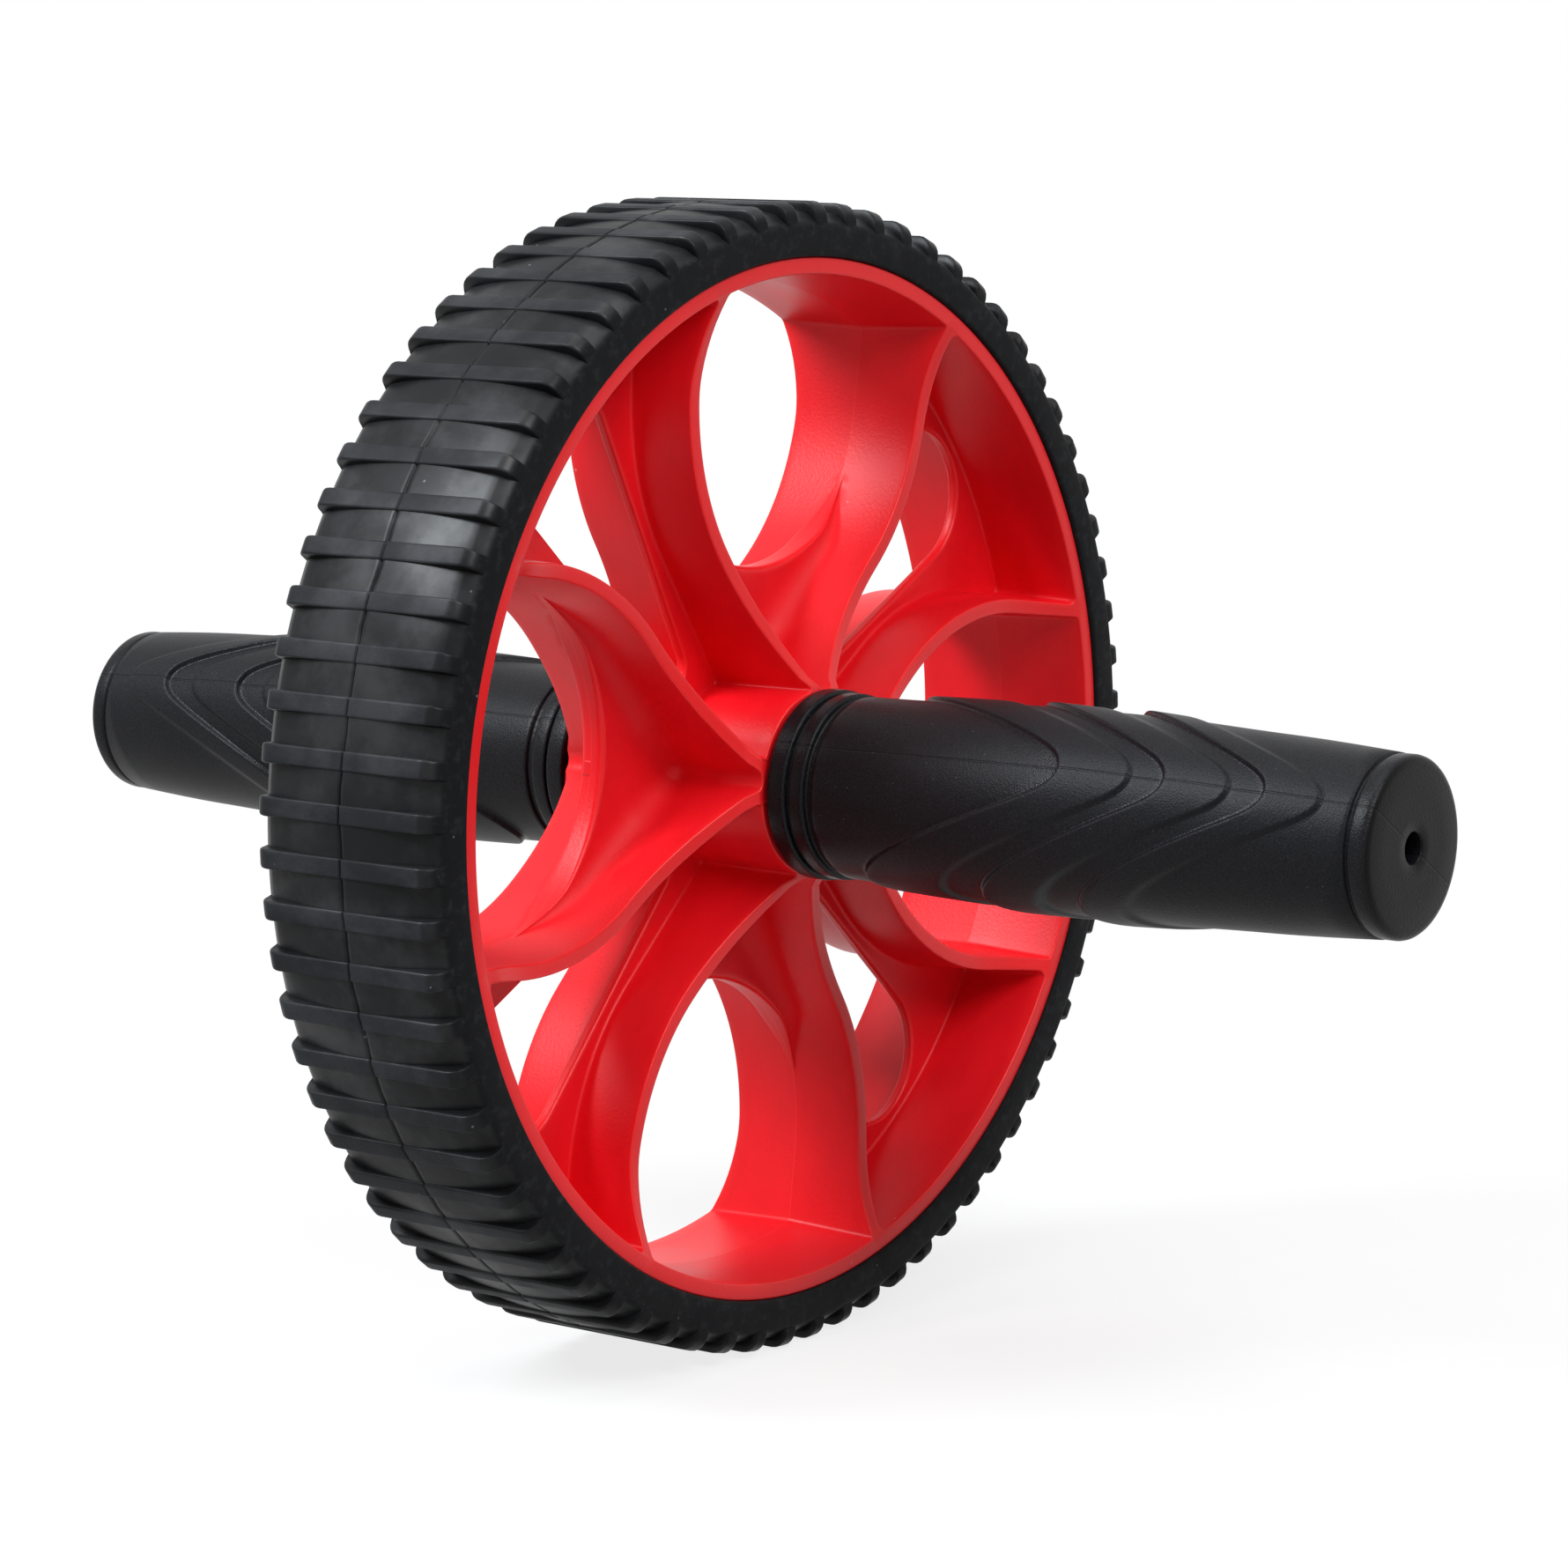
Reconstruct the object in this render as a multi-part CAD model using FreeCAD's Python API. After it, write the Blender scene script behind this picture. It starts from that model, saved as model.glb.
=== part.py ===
import FreeCAD, Part
import math
import os

# Ab wheel roller, millimetres. Origin at the wheel's centre, +Y along the axle, +Z up.
# Every side piece is drawn on the +Y side and mirrored to the other.

V = FreeCAD.Vector
ORIGIN = V(0, 0, 0)
AXLE = V(0, 1, 0)

# Axle, a plain steel bar that carries everything
axle_radius = 6.0
axle_half_length = 125.0
axle_chamfer = 1.0
running_gap = 0.05
seat_gap = 0.02

# Hub and its bushes
hub_radius = 16.2
hub_half_length = 21.5
bush_wall = 2.5
bush_length = 15.0

# Thrust washer between the turning hub and the handle
washer_radius = 11.5
washer_thickness = 0.8
washer_end_gap = 0.3

# Rim that the tyre sits on
rim_outer_radius = 90.5
rim_thickness = 2.9
rim_half_width = 18.5
rim_draft = 3.0

# Curved ribs: two make one petal, and each bends from the rim in to the hub
petal_count = 4
petal_phase = -7.45
rib_offset = 33.0
rib_bend_start = 68.0
rib_bend_radius = 45.0
rib_bend_angle = 41.0
rib_half_thickness = 1.9
rib_draft = 2.5

# Dished front edge of the ribs, low in the middle and rising to the hub and the rim
dish_level = 13.5
dish_hub_run = 29.0
dish_hub_rise = 7.4
dish_rim_run = 17.0
dish_rim_rise = 4.4
dish_steps = 2

# Web at the middle plane, with an arch in each petal and a slot between petals
web_half_thickness = 2.5
gap_web_half_thickness = 1.1
petal_floor_bevel = 3.0
arch_start = 36.3
arch_radius = 33.0
slot_rim_gap = 2.6
slot_outer_radius = 12.5
slot_inner_centre = 25.0
slot_inner_radius = 4.0
slot_outer_centre = rim_outer_radius - rim_thickness - slot_rim_gap - slot_outer_radius

# Rubber tyre: a crowned band with crosswise lugs
tyre_thickness = 9.5
crown_depth = 0.5
crown_half_width = 8.6
shoulder_half_width = 16.4
shoulder_drop = 1.5
tyre_half_width = 19.2
wall_height = 5.6
wall_lean = 0.4
lug_count = 72
lug_phase = 2.5
lug_width = 3.3
lug_half_length = 18.8
lug_end_lean = 2.0
lug_root_depth = 4.0
tread_radius = rim_outer_radius + tyre_thickness

# Handle: a rigid core pressed on the axle, with a soft grip moulded over it
handle_end = 139.5
core_radius = 12.0
grip_end_wall = 3.5
vent_radius = 2.6
core_vent_radius = 2.0

# Grip outline, from the wheel outwards
flange_radius = 16.5
flange_length = 3.6
ring_radius = 16.1
ring_length = 2.8
first_groove_width = 0.9
second_groove_width = 2.3
groove_depth = 1.0
neck_radius = 15.7
swell_radius = 17.3
swell_start = 60.0
swell_end = 96.0
tail_radius = 15.1
end_groove_width = 0.8
end_ring_radius = 14.9
end_ring_length = 3.5
end_ring_bevel = 1.5


def outline(start, *moves):
    """Closed wire: a move is an end point, or a (middle, end) pair for an arc."""
    edges = []
    here = start
    for move in moves + (start,):
        if isinstance(move, tuple):
            edges.append(Part.Arc(here, move[0], move[1]).toShape())
            here = move[1]
        elif (move - here).Length > 1e-6:
            edges.append(Part.LineSegment(here, move).toShape())
            here = move
    return Part.Wire(edges)


def turned(start, *moves):
    """Solid of revolution about the axle from an outline in the XY plane."""
    return Part.Face(outline(start, *moves)).revolve(ORIGIN, AXLE, 360)


def tube(inner, outer, low, high):
    return turned(V(inner, low, 0), V(outer, low, 0), V(outer, high, 0), V(inner, high, 0))


def evenly(start, end, steps):
    return [start + (end - start) * k / steps for k in range(steps + 1)]


def mirrored(shape):
    return shape.mirror(ORIGIN, AXLE)


def around(shape, angle):
    """Copy turned about the axle, with angles counted from +X towards +Z."""
    copy = shape.copy()
    copy.rotate(ORIGIN, AXLE, -angle)
    return copy


def spread(shape, count, first):
    return [around(shape, first + 360.0 * k / count) for k in range(count)]


def flat(radius, angle, level):
    """Point at a level along the axle, from a radius and an angle in degrees."""
    return V(radius * math.cos(math.radians(angle)), level, radius * math.sin(math.radians(angle)))


def turn_point(point, angle):
    return flat(math.hypot(point.x, point.z), math.degrees(math.atan2(point.z, point.x)) + angle, point.y)


def across(point):
    """Same point on the other side of the petal's centre line."""
    return V(point.x, point.y, -point.z)


def rim_inside(level):
    return rim_outer_radius - rim_thickness - (rim_half_width - level) * math.tan(math.radians(rim_draft))


def rib_half(level):
    return rib_half_thickness - level * math.tan(math.radians(rib_draft))


def rib_edge_level(radius):
    """Height of the ribs' front edge above the middle plane: flat, with an arc up to the hub and the rim."""
    from_hub = (radius - hub_radius, dish_hub_run, dish_hub_rise)
    from_rim = (rim_outer_radius - rim_thickness - radius, dish_rim_run, dish_rim_rise)
    level = dish_level
    for distance, run, rise in (from_hub, from_rim):
        curve = (run ** 2 + rise ** 2) / (2 * rise)
        level += curve - math.sqrt(curve ** 2 - max(0.0, run - distance) ** 2)
    return level


pocket_top = hub_half_length + rim_thickness
bend_centre = V(rib_bend_start, 0, rib_offset - rib_bend_radius)


def rib_face(offset, level):
    """One rib face, with its petal's centre line along +X: a point beyond the rim, three on the bend."""
    bend = rib_bend_radius + offset

    def on_bend(angle):
        turn = math.radians(angle)
        return bend_centre + V(-bend * math.sin(turn), level, bend * math.cos(turn))

    far = V(2 * rim_outer_radius, level, rib_offset + offset)
    return far, on_bend(0), on_bend(rib_bend_angle / 2), on_bend(rib_bend_angle)


def straight_end(bend_end, length):
    """Point further along a rib's straight end, towards the hub."""
    turn = math.radians(rib_bend_angle)
    return bend_end - V(math.cos(turn), 0, math.sin(turn)) * length


def petal_side(level, inset=0.0):
    """Half outline of the space between a petal's two ribs, which ends in a point at the hub."""
    far, start, middle, end = rib_face(-rib_half(level) - inset, level)
    return far, start, middle, end, straight_end(end, end.z / math.sin(math.radians(rib_bend_angle)))


def gap_side(level, inset=0.0):
    """Half outline of the space between two petals, which runs on into the hub."""
    far, start, middle, end = rib_face(rib_half(level) + inset, level)
    near = straight_end(end, math.hypot(end.x, end.z) - hub_radius / 2)
    return [turn_point(p, -180.0 / petal_count) for p in (far, start, middle, end, near)]


def flat_wall(a, b, c, d):
    return Part.Face(Part.makePolygon([a, b, c, d, a]))


def drafted(side_at, centre, low, high, inset=0.0):
    """Space inside the rim between two levels: flat walls, a cone round each bend, drawn in at the bottom."""
    base = side_at(low, inset)
    top = side_at(high)
    faces = []
    for mirror, turn in ((lambda p: p, -rib_bend_angle), (across, rib_bend_angle)):
        far, start, middle, end, near = [mirror(p) for p in base]
        far_up, start_up, middle_up, end_up, near_up = [mirror(p) for p in top]
        faces.append(flat_wall(far, start, start_up, far_up))
        faces.append(Part.LineSegment(start, start_up).toShape().revolve(mirror(centre), AXLE, turn))
        faces.append(flat_wall(end, near, near_up, end_up))
    for far, start, middle, end, near in (base, top):
        faces.append(Part.Face(outline(
            far, start, (middle, end), near, across(near), across(end), (across(middle), across(start)),
            across(far))))
    faces.append(flat_wall(base[0], across(base[0]), across(top[0]), top[0]))
    if abs(base[-1].z) > 1e-6:
        faces.append(flat_wall(base[-1], across(base[-1]), across(top[-1]), top[-1]))
    shell = Part.Shell(faces)
    shell.sewShape()
    rim = Part.makeCone(rim_inside(low) - inset, rim_inside(high), high - low, V(0, low, 0), AXLE)
    return Part.Solid(shell).common(rim)


hub_bar = Part.makeCylinder(hub_radius, pocket_top, ORIGIN, AXLE)


def petal_pockets():
    """Petal's space down to the web, with a bevel where the web meets the ribs."""
    bevel_top = web_half_thickness + petal_floor_bevel
    bevel = drafted(petal_side, bend_centre, web_half_thickness, bevel_top, petal_floor_bevel)
    return [bevel.cut(hub_bar), drafted(petal_side, bend_centre, bevel_top, pocket_top).cut(hub_bar)]


def gap_pocket():
    centre = turn_point(bend_centre, -180.0 / petal_count)
    return drafted(gap_side, centre, gap_web_half_thickness, pocket_top).cut(hub_bar)


def petal_hole():
    """Through hole of a petal: everything beyond the arch in its web."""
    arch_centre = arch_start + arch_radius
    round_end = Part.makeCylinder(arch_radius, pocket_top, V(arch_centre, 0, 0), AXLE)
    corner = V(arch_centre, 0, -rim_outer_radius)
    beyond = Part.makeBox(rim_outer_radius, pocket_top, 2 * rim_outer_radius, corner)
    return drafted(petal_side, bend_centre, 0.0, pocket_top).common(round_end.fuse(beyond))


def slot_cut():
    """Tapered slot through the web: two round ends joined by their tangent lines."""
    run = slot_outer_centre - slot_inner_centre
    lean = math.acos((slot_outer_radius - slot_inner_radius) / run)

    def edge(centre, radius, angle):
        return V(centre - radius * math.cos(angle), 0, radius * math.sin(angle))

    big = edge(slot_outer_centre, slot_outer_radius, lean)
    small = edge(slot_inner_centre, slot_inner_radius, lean)
    wire = outline(big, small, (edge(slot_inner_centre, slot_inner_radius, 0), across(small)),
                   across(big), (edge(slot_outer_centre, slot_outer_radius, math.pi), big))
    return Part.Face(wire).extrude(V(0, pocket_top, 0))


def wheel_core():
    bore = axle_radius + running_gap + bush_wall + seat_gap
    rim_inner = rim_outer_radius - rim_thickness
    dish = evenly(hub_radius, hub_radius + dish_hub_run, dish_steps)
    dish += evenly(rim_inner - dish_rim_run, rim_inner, dish_steps)
    half = turned(
        V(bore, 0, 0), V(bore, hub_half_length, 0), V(hub_radius, hub_half_length, 0),
        *[V(r, rib_edge_level(r), 0) for r in dish],
        V(rim_inner, rim_half_width, 0), V(rim_outer_radius, rim_half_width, 0), V(rim_outer_radius, 0, 0))
    gap_phase = petal_phase + 180.0 / petal_count
    for pocket in petal_pockets():
        half = half.cut(spread(pocket, petal_count, petal_phase))
    half = half.cut(spread(gap_pocket(), petal_count, gap_phase))
    half = half.cut(spread(slot_cut(), petal_count, gap_phase))
    half = half.cut(spread(petal_hole(), petal_count, petal_phase))
    return half.fuse(mirrored(half)).removeSplitter()


def tyre():
    inside = rim_outer_radius + seat_gap
    crown = tread_radius - crown_depth
    half = [V(inside, tyre_half_width, 0), V(rim_outer_radius + wall_height, tyre_half_width - wall_lean, 0),
            V(crown - shoulder_drop, shoulder_half_width, 0), V(crown, crown_half_width, 0)]
    band = turned(*half, *[V(p.x, -p.y, 0) for p in reversed(half)])
    return band.multiFuse(spread(lug(), lug_count, lug_phase))


def lug():
    """Crosswise bar with leaning ends, standing on the crown."""
    root = tread_radius - lug_root_depth
    half = [V(root, lug_half_length, 0), V(tread_radius, lug_half_length - lug_end_lean, 0)]
    face = Part.Face(outline(*half, *[V(p.x, -p.y, 0) for p in reversed(half)]))
    face.translate(V(0, 0, -lug_width / 2))
    return face.extrude(V(0, 0, lug_width))


def axle():
    end = axle_half_length
    slim = axle_radius - axle_chamfer
    return turned(V(0, -end, 0), V(slim, -end, 0), V(axle_radius, axle_chamfer - end, 0),
                  V(axle_radius, end - axle_chamfer, 0), V(slim, end, 0), V(0, end, 0))


handle_start = hub_half_length + washer_end_gap + washer_thickness


def bush():
    inside = axle_radius + running_gap
    return tube(inside, inside + bush_wall, hub_half_length - bush_length, hub_half_length)


def washer():
    return tube(axle_radius + running_gap, washer_radius, handle_start - washer_thickness, handle_start)


def handle_core():
    top = handle_end - grip_end_wall
    bore = axle_radius + seat_gap
    bore_end = axle_half_length + running_gap
    return turned(V(core_vent_radius, bore_end, 0), V(core_vent_radius, top, 0), V(core_radius, top, 0),
                  V(core_radius, handle_start, 0), V(bore, handle_start, 0), V(bore, bore_end, 0))


barrel_start = handle_start + flange_length + first_groove_width + ring_length + second_groove_width
barrel_end = handle_end - end_ring_length - end_groove_width


def grip():
    flange_end = handle_start + flange_length
    ring_start = flange_end + first_groove_width
    ring_end = ring_start + ring_length
    last = handle_end - end_ring_length
    inside = core_radius + seat_gap
    inside_end = handle_end - grip_end_wall + seat_gap
    return turned(
        V(inside, handle_start, 0), V(flange_radius, handle_start, 0), V(flange_radius, flange_end, 0),
        V(flange_radius - groove_depth, flange_end, 0), V(ring_radius, ring_start, 0),
        V(ring_radius, ring_end, 0), V(ring_radius - groove_depth, ring_end, 0),
        V(ring_radius - groove_depth, barrel_start, 0),
        V(neck_radius, barrel_start, 0), V(swell_radius, swell_start, 0), V(swell_radius, swell_end, 0),
        V(tail_radius, barrel_end, 0),
        V(end_ring_radius - groove_depth, barrel_end, 0), V(end_ring_radius, last, 0),
        V(end_ring_radius, handle_end - end_ring_bevel, 0),
        V(end_ring_radius - end_ring_bevel, handle_end, 0),
        V(vent_radius, handle_end, 0), V(vent_radius, inside_end, 0), V(inside, inside_end, 0))


os.makedirs("parts", exist_ok=True)

wheel_core().exportStep("parts/wheel_core.step")
tyre().exportStep("parts/tyre.step")
axle().exportStep("parts/axle_bar.step")
side_pieces = {"hub_bush": bush, "thrust_washer": washer, "handle_core": handle_core, "grip": grip}
for name, make in side_pieces.items():
    piece = make()
    piece.exportStep("parts/" + name + "_left.step")
    mirrored(piece).exportStep("parts/" + name + "_right.step")
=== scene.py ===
import math
from functools import partialmethod
from types import SimpleNamespace

import bmesh
import bpy
import numpy as np
from bpy.props import FloatProperty, FloatVectorProperty, IntProperty, PointerProperty
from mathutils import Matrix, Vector


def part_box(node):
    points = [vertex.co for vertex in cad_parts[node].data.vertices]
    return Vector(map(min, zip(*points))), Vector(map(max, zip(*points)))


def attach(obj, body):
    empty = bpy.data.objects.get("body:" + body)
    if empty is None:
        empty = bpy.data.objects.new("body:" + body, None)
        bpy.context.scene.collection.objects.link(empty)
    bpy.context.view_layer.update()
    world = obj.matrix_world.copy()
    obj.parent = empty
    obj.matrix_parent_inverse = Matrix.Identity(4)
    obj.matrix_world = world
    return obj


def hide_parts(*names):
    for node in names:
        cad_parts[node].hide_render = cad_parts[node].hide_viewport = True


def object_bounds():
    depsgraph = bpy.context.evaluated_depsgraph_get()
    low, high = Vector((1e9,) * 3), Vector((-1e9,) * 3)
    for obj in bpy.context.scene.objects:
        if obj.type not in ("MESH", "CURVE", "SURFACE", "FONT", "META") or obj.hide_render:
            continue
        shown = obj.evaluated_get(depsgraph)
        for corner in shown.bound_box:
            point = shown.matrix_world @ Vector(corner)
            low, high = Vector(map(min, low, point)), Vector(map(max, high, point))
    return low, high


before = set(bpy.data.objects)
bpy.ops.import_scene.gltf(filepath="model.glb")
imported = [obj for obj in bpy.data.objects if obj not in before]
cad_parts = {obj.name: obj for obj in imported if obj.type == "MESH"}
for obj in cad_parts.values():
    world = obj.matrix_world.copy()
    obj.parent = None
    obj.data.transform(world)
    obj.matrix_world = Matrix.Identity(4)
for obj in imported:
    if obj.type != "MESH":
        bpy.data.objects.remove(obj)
cad_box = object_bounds()

bl_info = {
    "name": "Ab wheel roller",
    "version": (1, 0, 0),
    "blender": (4, 5, 0),
    "location": "View3D > Sidebar > Roller",
    "description": "Dresses the packed ab wheel roller: moulded wheel, lugged tyre, waved grips and a studio",
    "category": "Object",
}

MM = 0.001
WELD = 0.002 * MM

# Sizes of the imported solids, in millimetres
rim_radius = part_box("wheel_core")[1][0] / MM
rim_half_width = 18.5
tread_radius = 100.0
handle_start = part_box("grip_left")[0][1] / MM
handle_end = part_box("grip_left")[1][1] / MM
hub_half_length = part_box("hub_bush_left")[1][1] / MM


def length(name, millimetres, about):
    return FloatProperty(name=name, description=about, default=millimetres * MM, unit="LENGTH", precision=4)


def turn(name, degrees, about):
    return FloatProperty(name=name, description=about, default=math.radians(degrees), subtype="ANGLE")


def colour(name, value, about):
    return FloatVectorProperty(name=name, description=about, default=value, size=3, min=0, max=1,
                               subtype="COLOR")


def number(name, value, about):
    return FloatProperty(name=name, description=about, default=value)


class WheelSizes(bpy.types.PropertyGroup):
    """Moulded wheel: rim, curved ribs, hub and the web at its middle plane."""
    rim_wall: length("Rim wall", 2.9, "Thickness of the rim at its front edge")
    rim_draft: turn("Rim draft", 3.0, "Lean of the rim's inner face")
    rib_offset: length("Rib offset", 33.0, "Distance of a rib's straight end from its petal's centre line")
    rib_bend_start: length("Bend start", 68.0, "Distance from the axle where a rib begins to bend")
    rib_bend: length("Bend radius", 45.0, "Radius of a rib's bend")
    rib_angle: turn("Bend angle", 41.0, "Angle that a rib bends through")
    rib_half: length("Rib half thickness", 1.9, "Half thickness of a rib at the middle plane")
    rib_draft: turn("Rib draft", 2.5, "Lean of each rib face")
    petal_phase: turn("Petal turn", -7.45, "Angle of the first petal's centre line from +X towards +Z")
    hub_radius: length("Hub radius", 16.2, "Radius of the hub between the ribs")
    hub_bore: length("Hub bore", 8.57, "Radius of the hole that the bushes sit in")
    dish_level: length("Dish level", 13.5, "Height of the ribs' front edge at its lowest")
    dish_hub_run: length("Dish run at the hub", 29.0, "Width of the rise towards the hub")
    dish_hub_rise: length("Dish rise at the hub", 7.4, "Height of the rise towards the hub")
    dish_rim_run: length("Dish run at the rim", 17.0, "Width of the rise towards the rim")
    web_half: length("Web half thickness", 2.5, "Half thickness of the web")
    web_end: length("Web end", 0.5, "Half thickness of a petal's web at the arch's end")
    web_run: length("Web run", 15.0, "Distance over which a petal's web reaches its thickness")
    gap_half: length("Gap web half thickness", 1.1, "Half thickness of the web between petals")
    arch_start: length("Arch", 36.3, "Distance from the axle to the arch in a petal's web")
    arch_radius: length("Arch radius", 33.0, "Radius of the arch in a petal's web")
    arch_lip: length("Arch lip", 1.25, "Width of the rounded lip along the arch")
    slot_outer: length("Slot outer centre", 72.5, "Distance from the axle to the slot's wide end")
    slot_outer_radius: length("Slot outer radius", 12.5, "Radius of the slot's wide end")
    slot_inner: length("Slot inner centre", 25.0, "Distance from the axle to the slot's narrow end")
    slot_inner_radius: length("Slot inner radius", 4.0, "Radius of the slot's narrow end")
    edge_round: length("Edge rounding", 0.32, "Rounding of the ribs' and the rim's front edges")
    rim_corner: length("Rim corner", 1.0, "Rounding where a rib meets the rim")
    hub_corner: length("Hub corner", 0.6, "Rounding where a rib meets the hub")
    web_fillet_least: length("Least web fillet", 2.8, "Fillet of a petal's web where there is no room")
    web_fillet: length("Web fillet", 5.5, "Rounding where a petal's web meets its ribs")
    gap_fillet: length("Gap fillet", 0.7, "Rounding where the web between petals meets the ribs")
    slot_lip: length("Slot lip", 0.7, "Rounding of the slot's edge")


class TyreSizes(bpy.types.PropertyGroup):
    """Rubber tyre: a crowned band with crosswise lugs."""
    lug_count: IntProperty(name="Lugs", description="Number of crosswise lugs", default=72, min=8)
    lug_phase: turn("Lug turn", 2.5, "Angle of the first lug from +X towards +Z")
    lug_width: length("Lug width", 3.3, "Width of a lug's top")
    lug_flat: length("Lug flat", 15.9, "Half length of the flat part of a lug's top")
    lug_end: length("Lug end", 19.0, "Half length of a lug where it runs out at the shoulder")
    half_width: length("Half width", 19.2, "Half width of the tyre")


class GripSizes(bpy.types.PropertyGroup):
    """Soft grips with three waved bands."""
    band_height: length("Band height", 0.85, "Height of a band's inner step above the barrel")
    band_tail: length("Band tail", 0.62, "Height of a band at its outer edge")
    tip_angle: turn("Wave tip", 147.2, "Angle of the waves' tips from +X towards +Z")
    vent_radius: length("Vent radius", 2.6, "Radius of the hole in the end face")
    bore_radius: length("Bore radius", 12.05, "Radius of the space for the rigid core")


class Finishes(bpy.types.PropertyGroup):
    """Colours of the moulded plastic, the rubbers and the metal, and of the painted highlights and glints."""
    red: colour("Red plastic", (0.86, 0.009, 0.017), "Colour of the moulded wheel")
    red_deep: colour("Deep red", (0.72, 0.004, 0.010), "Colour of the thicker and denser plastic")
    # Painted highlight: a lighter red for the moulded edges, lips and parting line
    red_edge_highlight: colour("Edge red", (0.92, 0.026, 0.026), "Colour along the moulded edges")
    tread: colour("Tread", (0.0070, 0.0072, 0.0078), "Colour of the tyre's rubber")
    dust: colour("Dust", (0.045, 0.047, 0.052), "Colour of dust and bloom on the tyre")
    grip: colour("Grip", (0.0058, 0.0060, 0.0072), "Colour of the grips' rubber")
    steel: colour("Steel", (0.60, 0.60, 0.61), "Colour of the axle and the washers")
    nylon: colour("Nylon", (0.74, 0.72, 0.66), "Colour of the hub bushes")
    core: colour("Core", (0.030, 0.031, 0.033), "Colour of the rigid handle cores")
    # Pale specks at random; along the edges they are stronger and add to the painted highlight
    fleck: colour("Fleck", (0.93, 0.62, 0.55), "Colour of the pale specks in the red plastic")
    speck: colour("Speck", (0.25, 0.25, 0.25), "Colour of the grey specks on the tyre")
    # Painted glints: the colour of light specks that stand for the sparkle of the grain
    grip_glint: colour("Spark", (0.16, 0.165, 0.175), "Colour of the light specks on the grips")


class StudioSettings(bpy.types.PropertyGroup):
    """Camera and light."""
    azimuth: turn("Azimuth", -52.27, "Camera's angle round the object")
    elevation: turn("Elevation", 8.16, "Camera's angle above the floor")
    distance: length("Distance", 905.0, "Camera's distance")
    lens: number("Lens", 118.47, "Focal length in millimetres")
    sensor: number("Sensor", 36.0, "Width of the camera's sensor in millimetres")
    shift_x: number("Shift across", 0.0407, "Camera shift across")
    shift_y: number("Shift up", -0.0075, "Camera shift up")
    ambient: number("Ambient", 0.16, "Strength of the even light all round")


def in_millimetres(group):
    """The group's values with lengths in millimetres, and the rest as they are."""
    values = SimpleNamespace()
    for key, prop in group.bl_rna.properties.items():
        if key in ("rna_type", "name"):
            continue
        value = getattr(group, key)
        setattr(values, key, value / MM if getattr(prop, "unit", "NONE") == "LENGTH" else value)
    return values


# Shader expressions


class Wire:
    """A node's socket that takes part in arithmetic and adds its Math nodes."""

    def __init__(self, net, socket):
        self.net = net
        self.socket = socket

    def math(self, operation, *others):
        """A Math node with this wire as its first value."""
        return self.net.math(operation, self, *others)

    def reflected(self, operation, other):
        """A Math node with this wire as its second value, for a number on the left."""
        return self.net.math(operation, other, self)

    __add__ = partialmethod(math, "ADD")
    __sub__ = partialmethod(math, "SUBTRACT")
    __mul__ = partialmethod(math, "MULTIPLY")
    __truediv__ = partialmethod(math, "DIVIDE")
    __pow__ = partialmethod(math, "POWER")
    __radd__ = partialmethod(reflected, "ADD")
    __rsub__ = partialmethod(reflected, "SUBTRACT")
    __rmul__ = partialmethod(reflected, "MULTIPLY")
    __rtruediv__ = partialmethod(reflected, "DIVIDE")
    __rpow__ = partialmethod(reflected, "POWER")

    def step(self, low, high):
        """Smooth step from 0 at low to 1 at high."""
        return self.net.pick("ShaderNodeMapRange", {"Value": self, "From Min": low, "From Max": high},
                             {"interpolation_type": "SMOOTHSTEP"})


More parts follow.
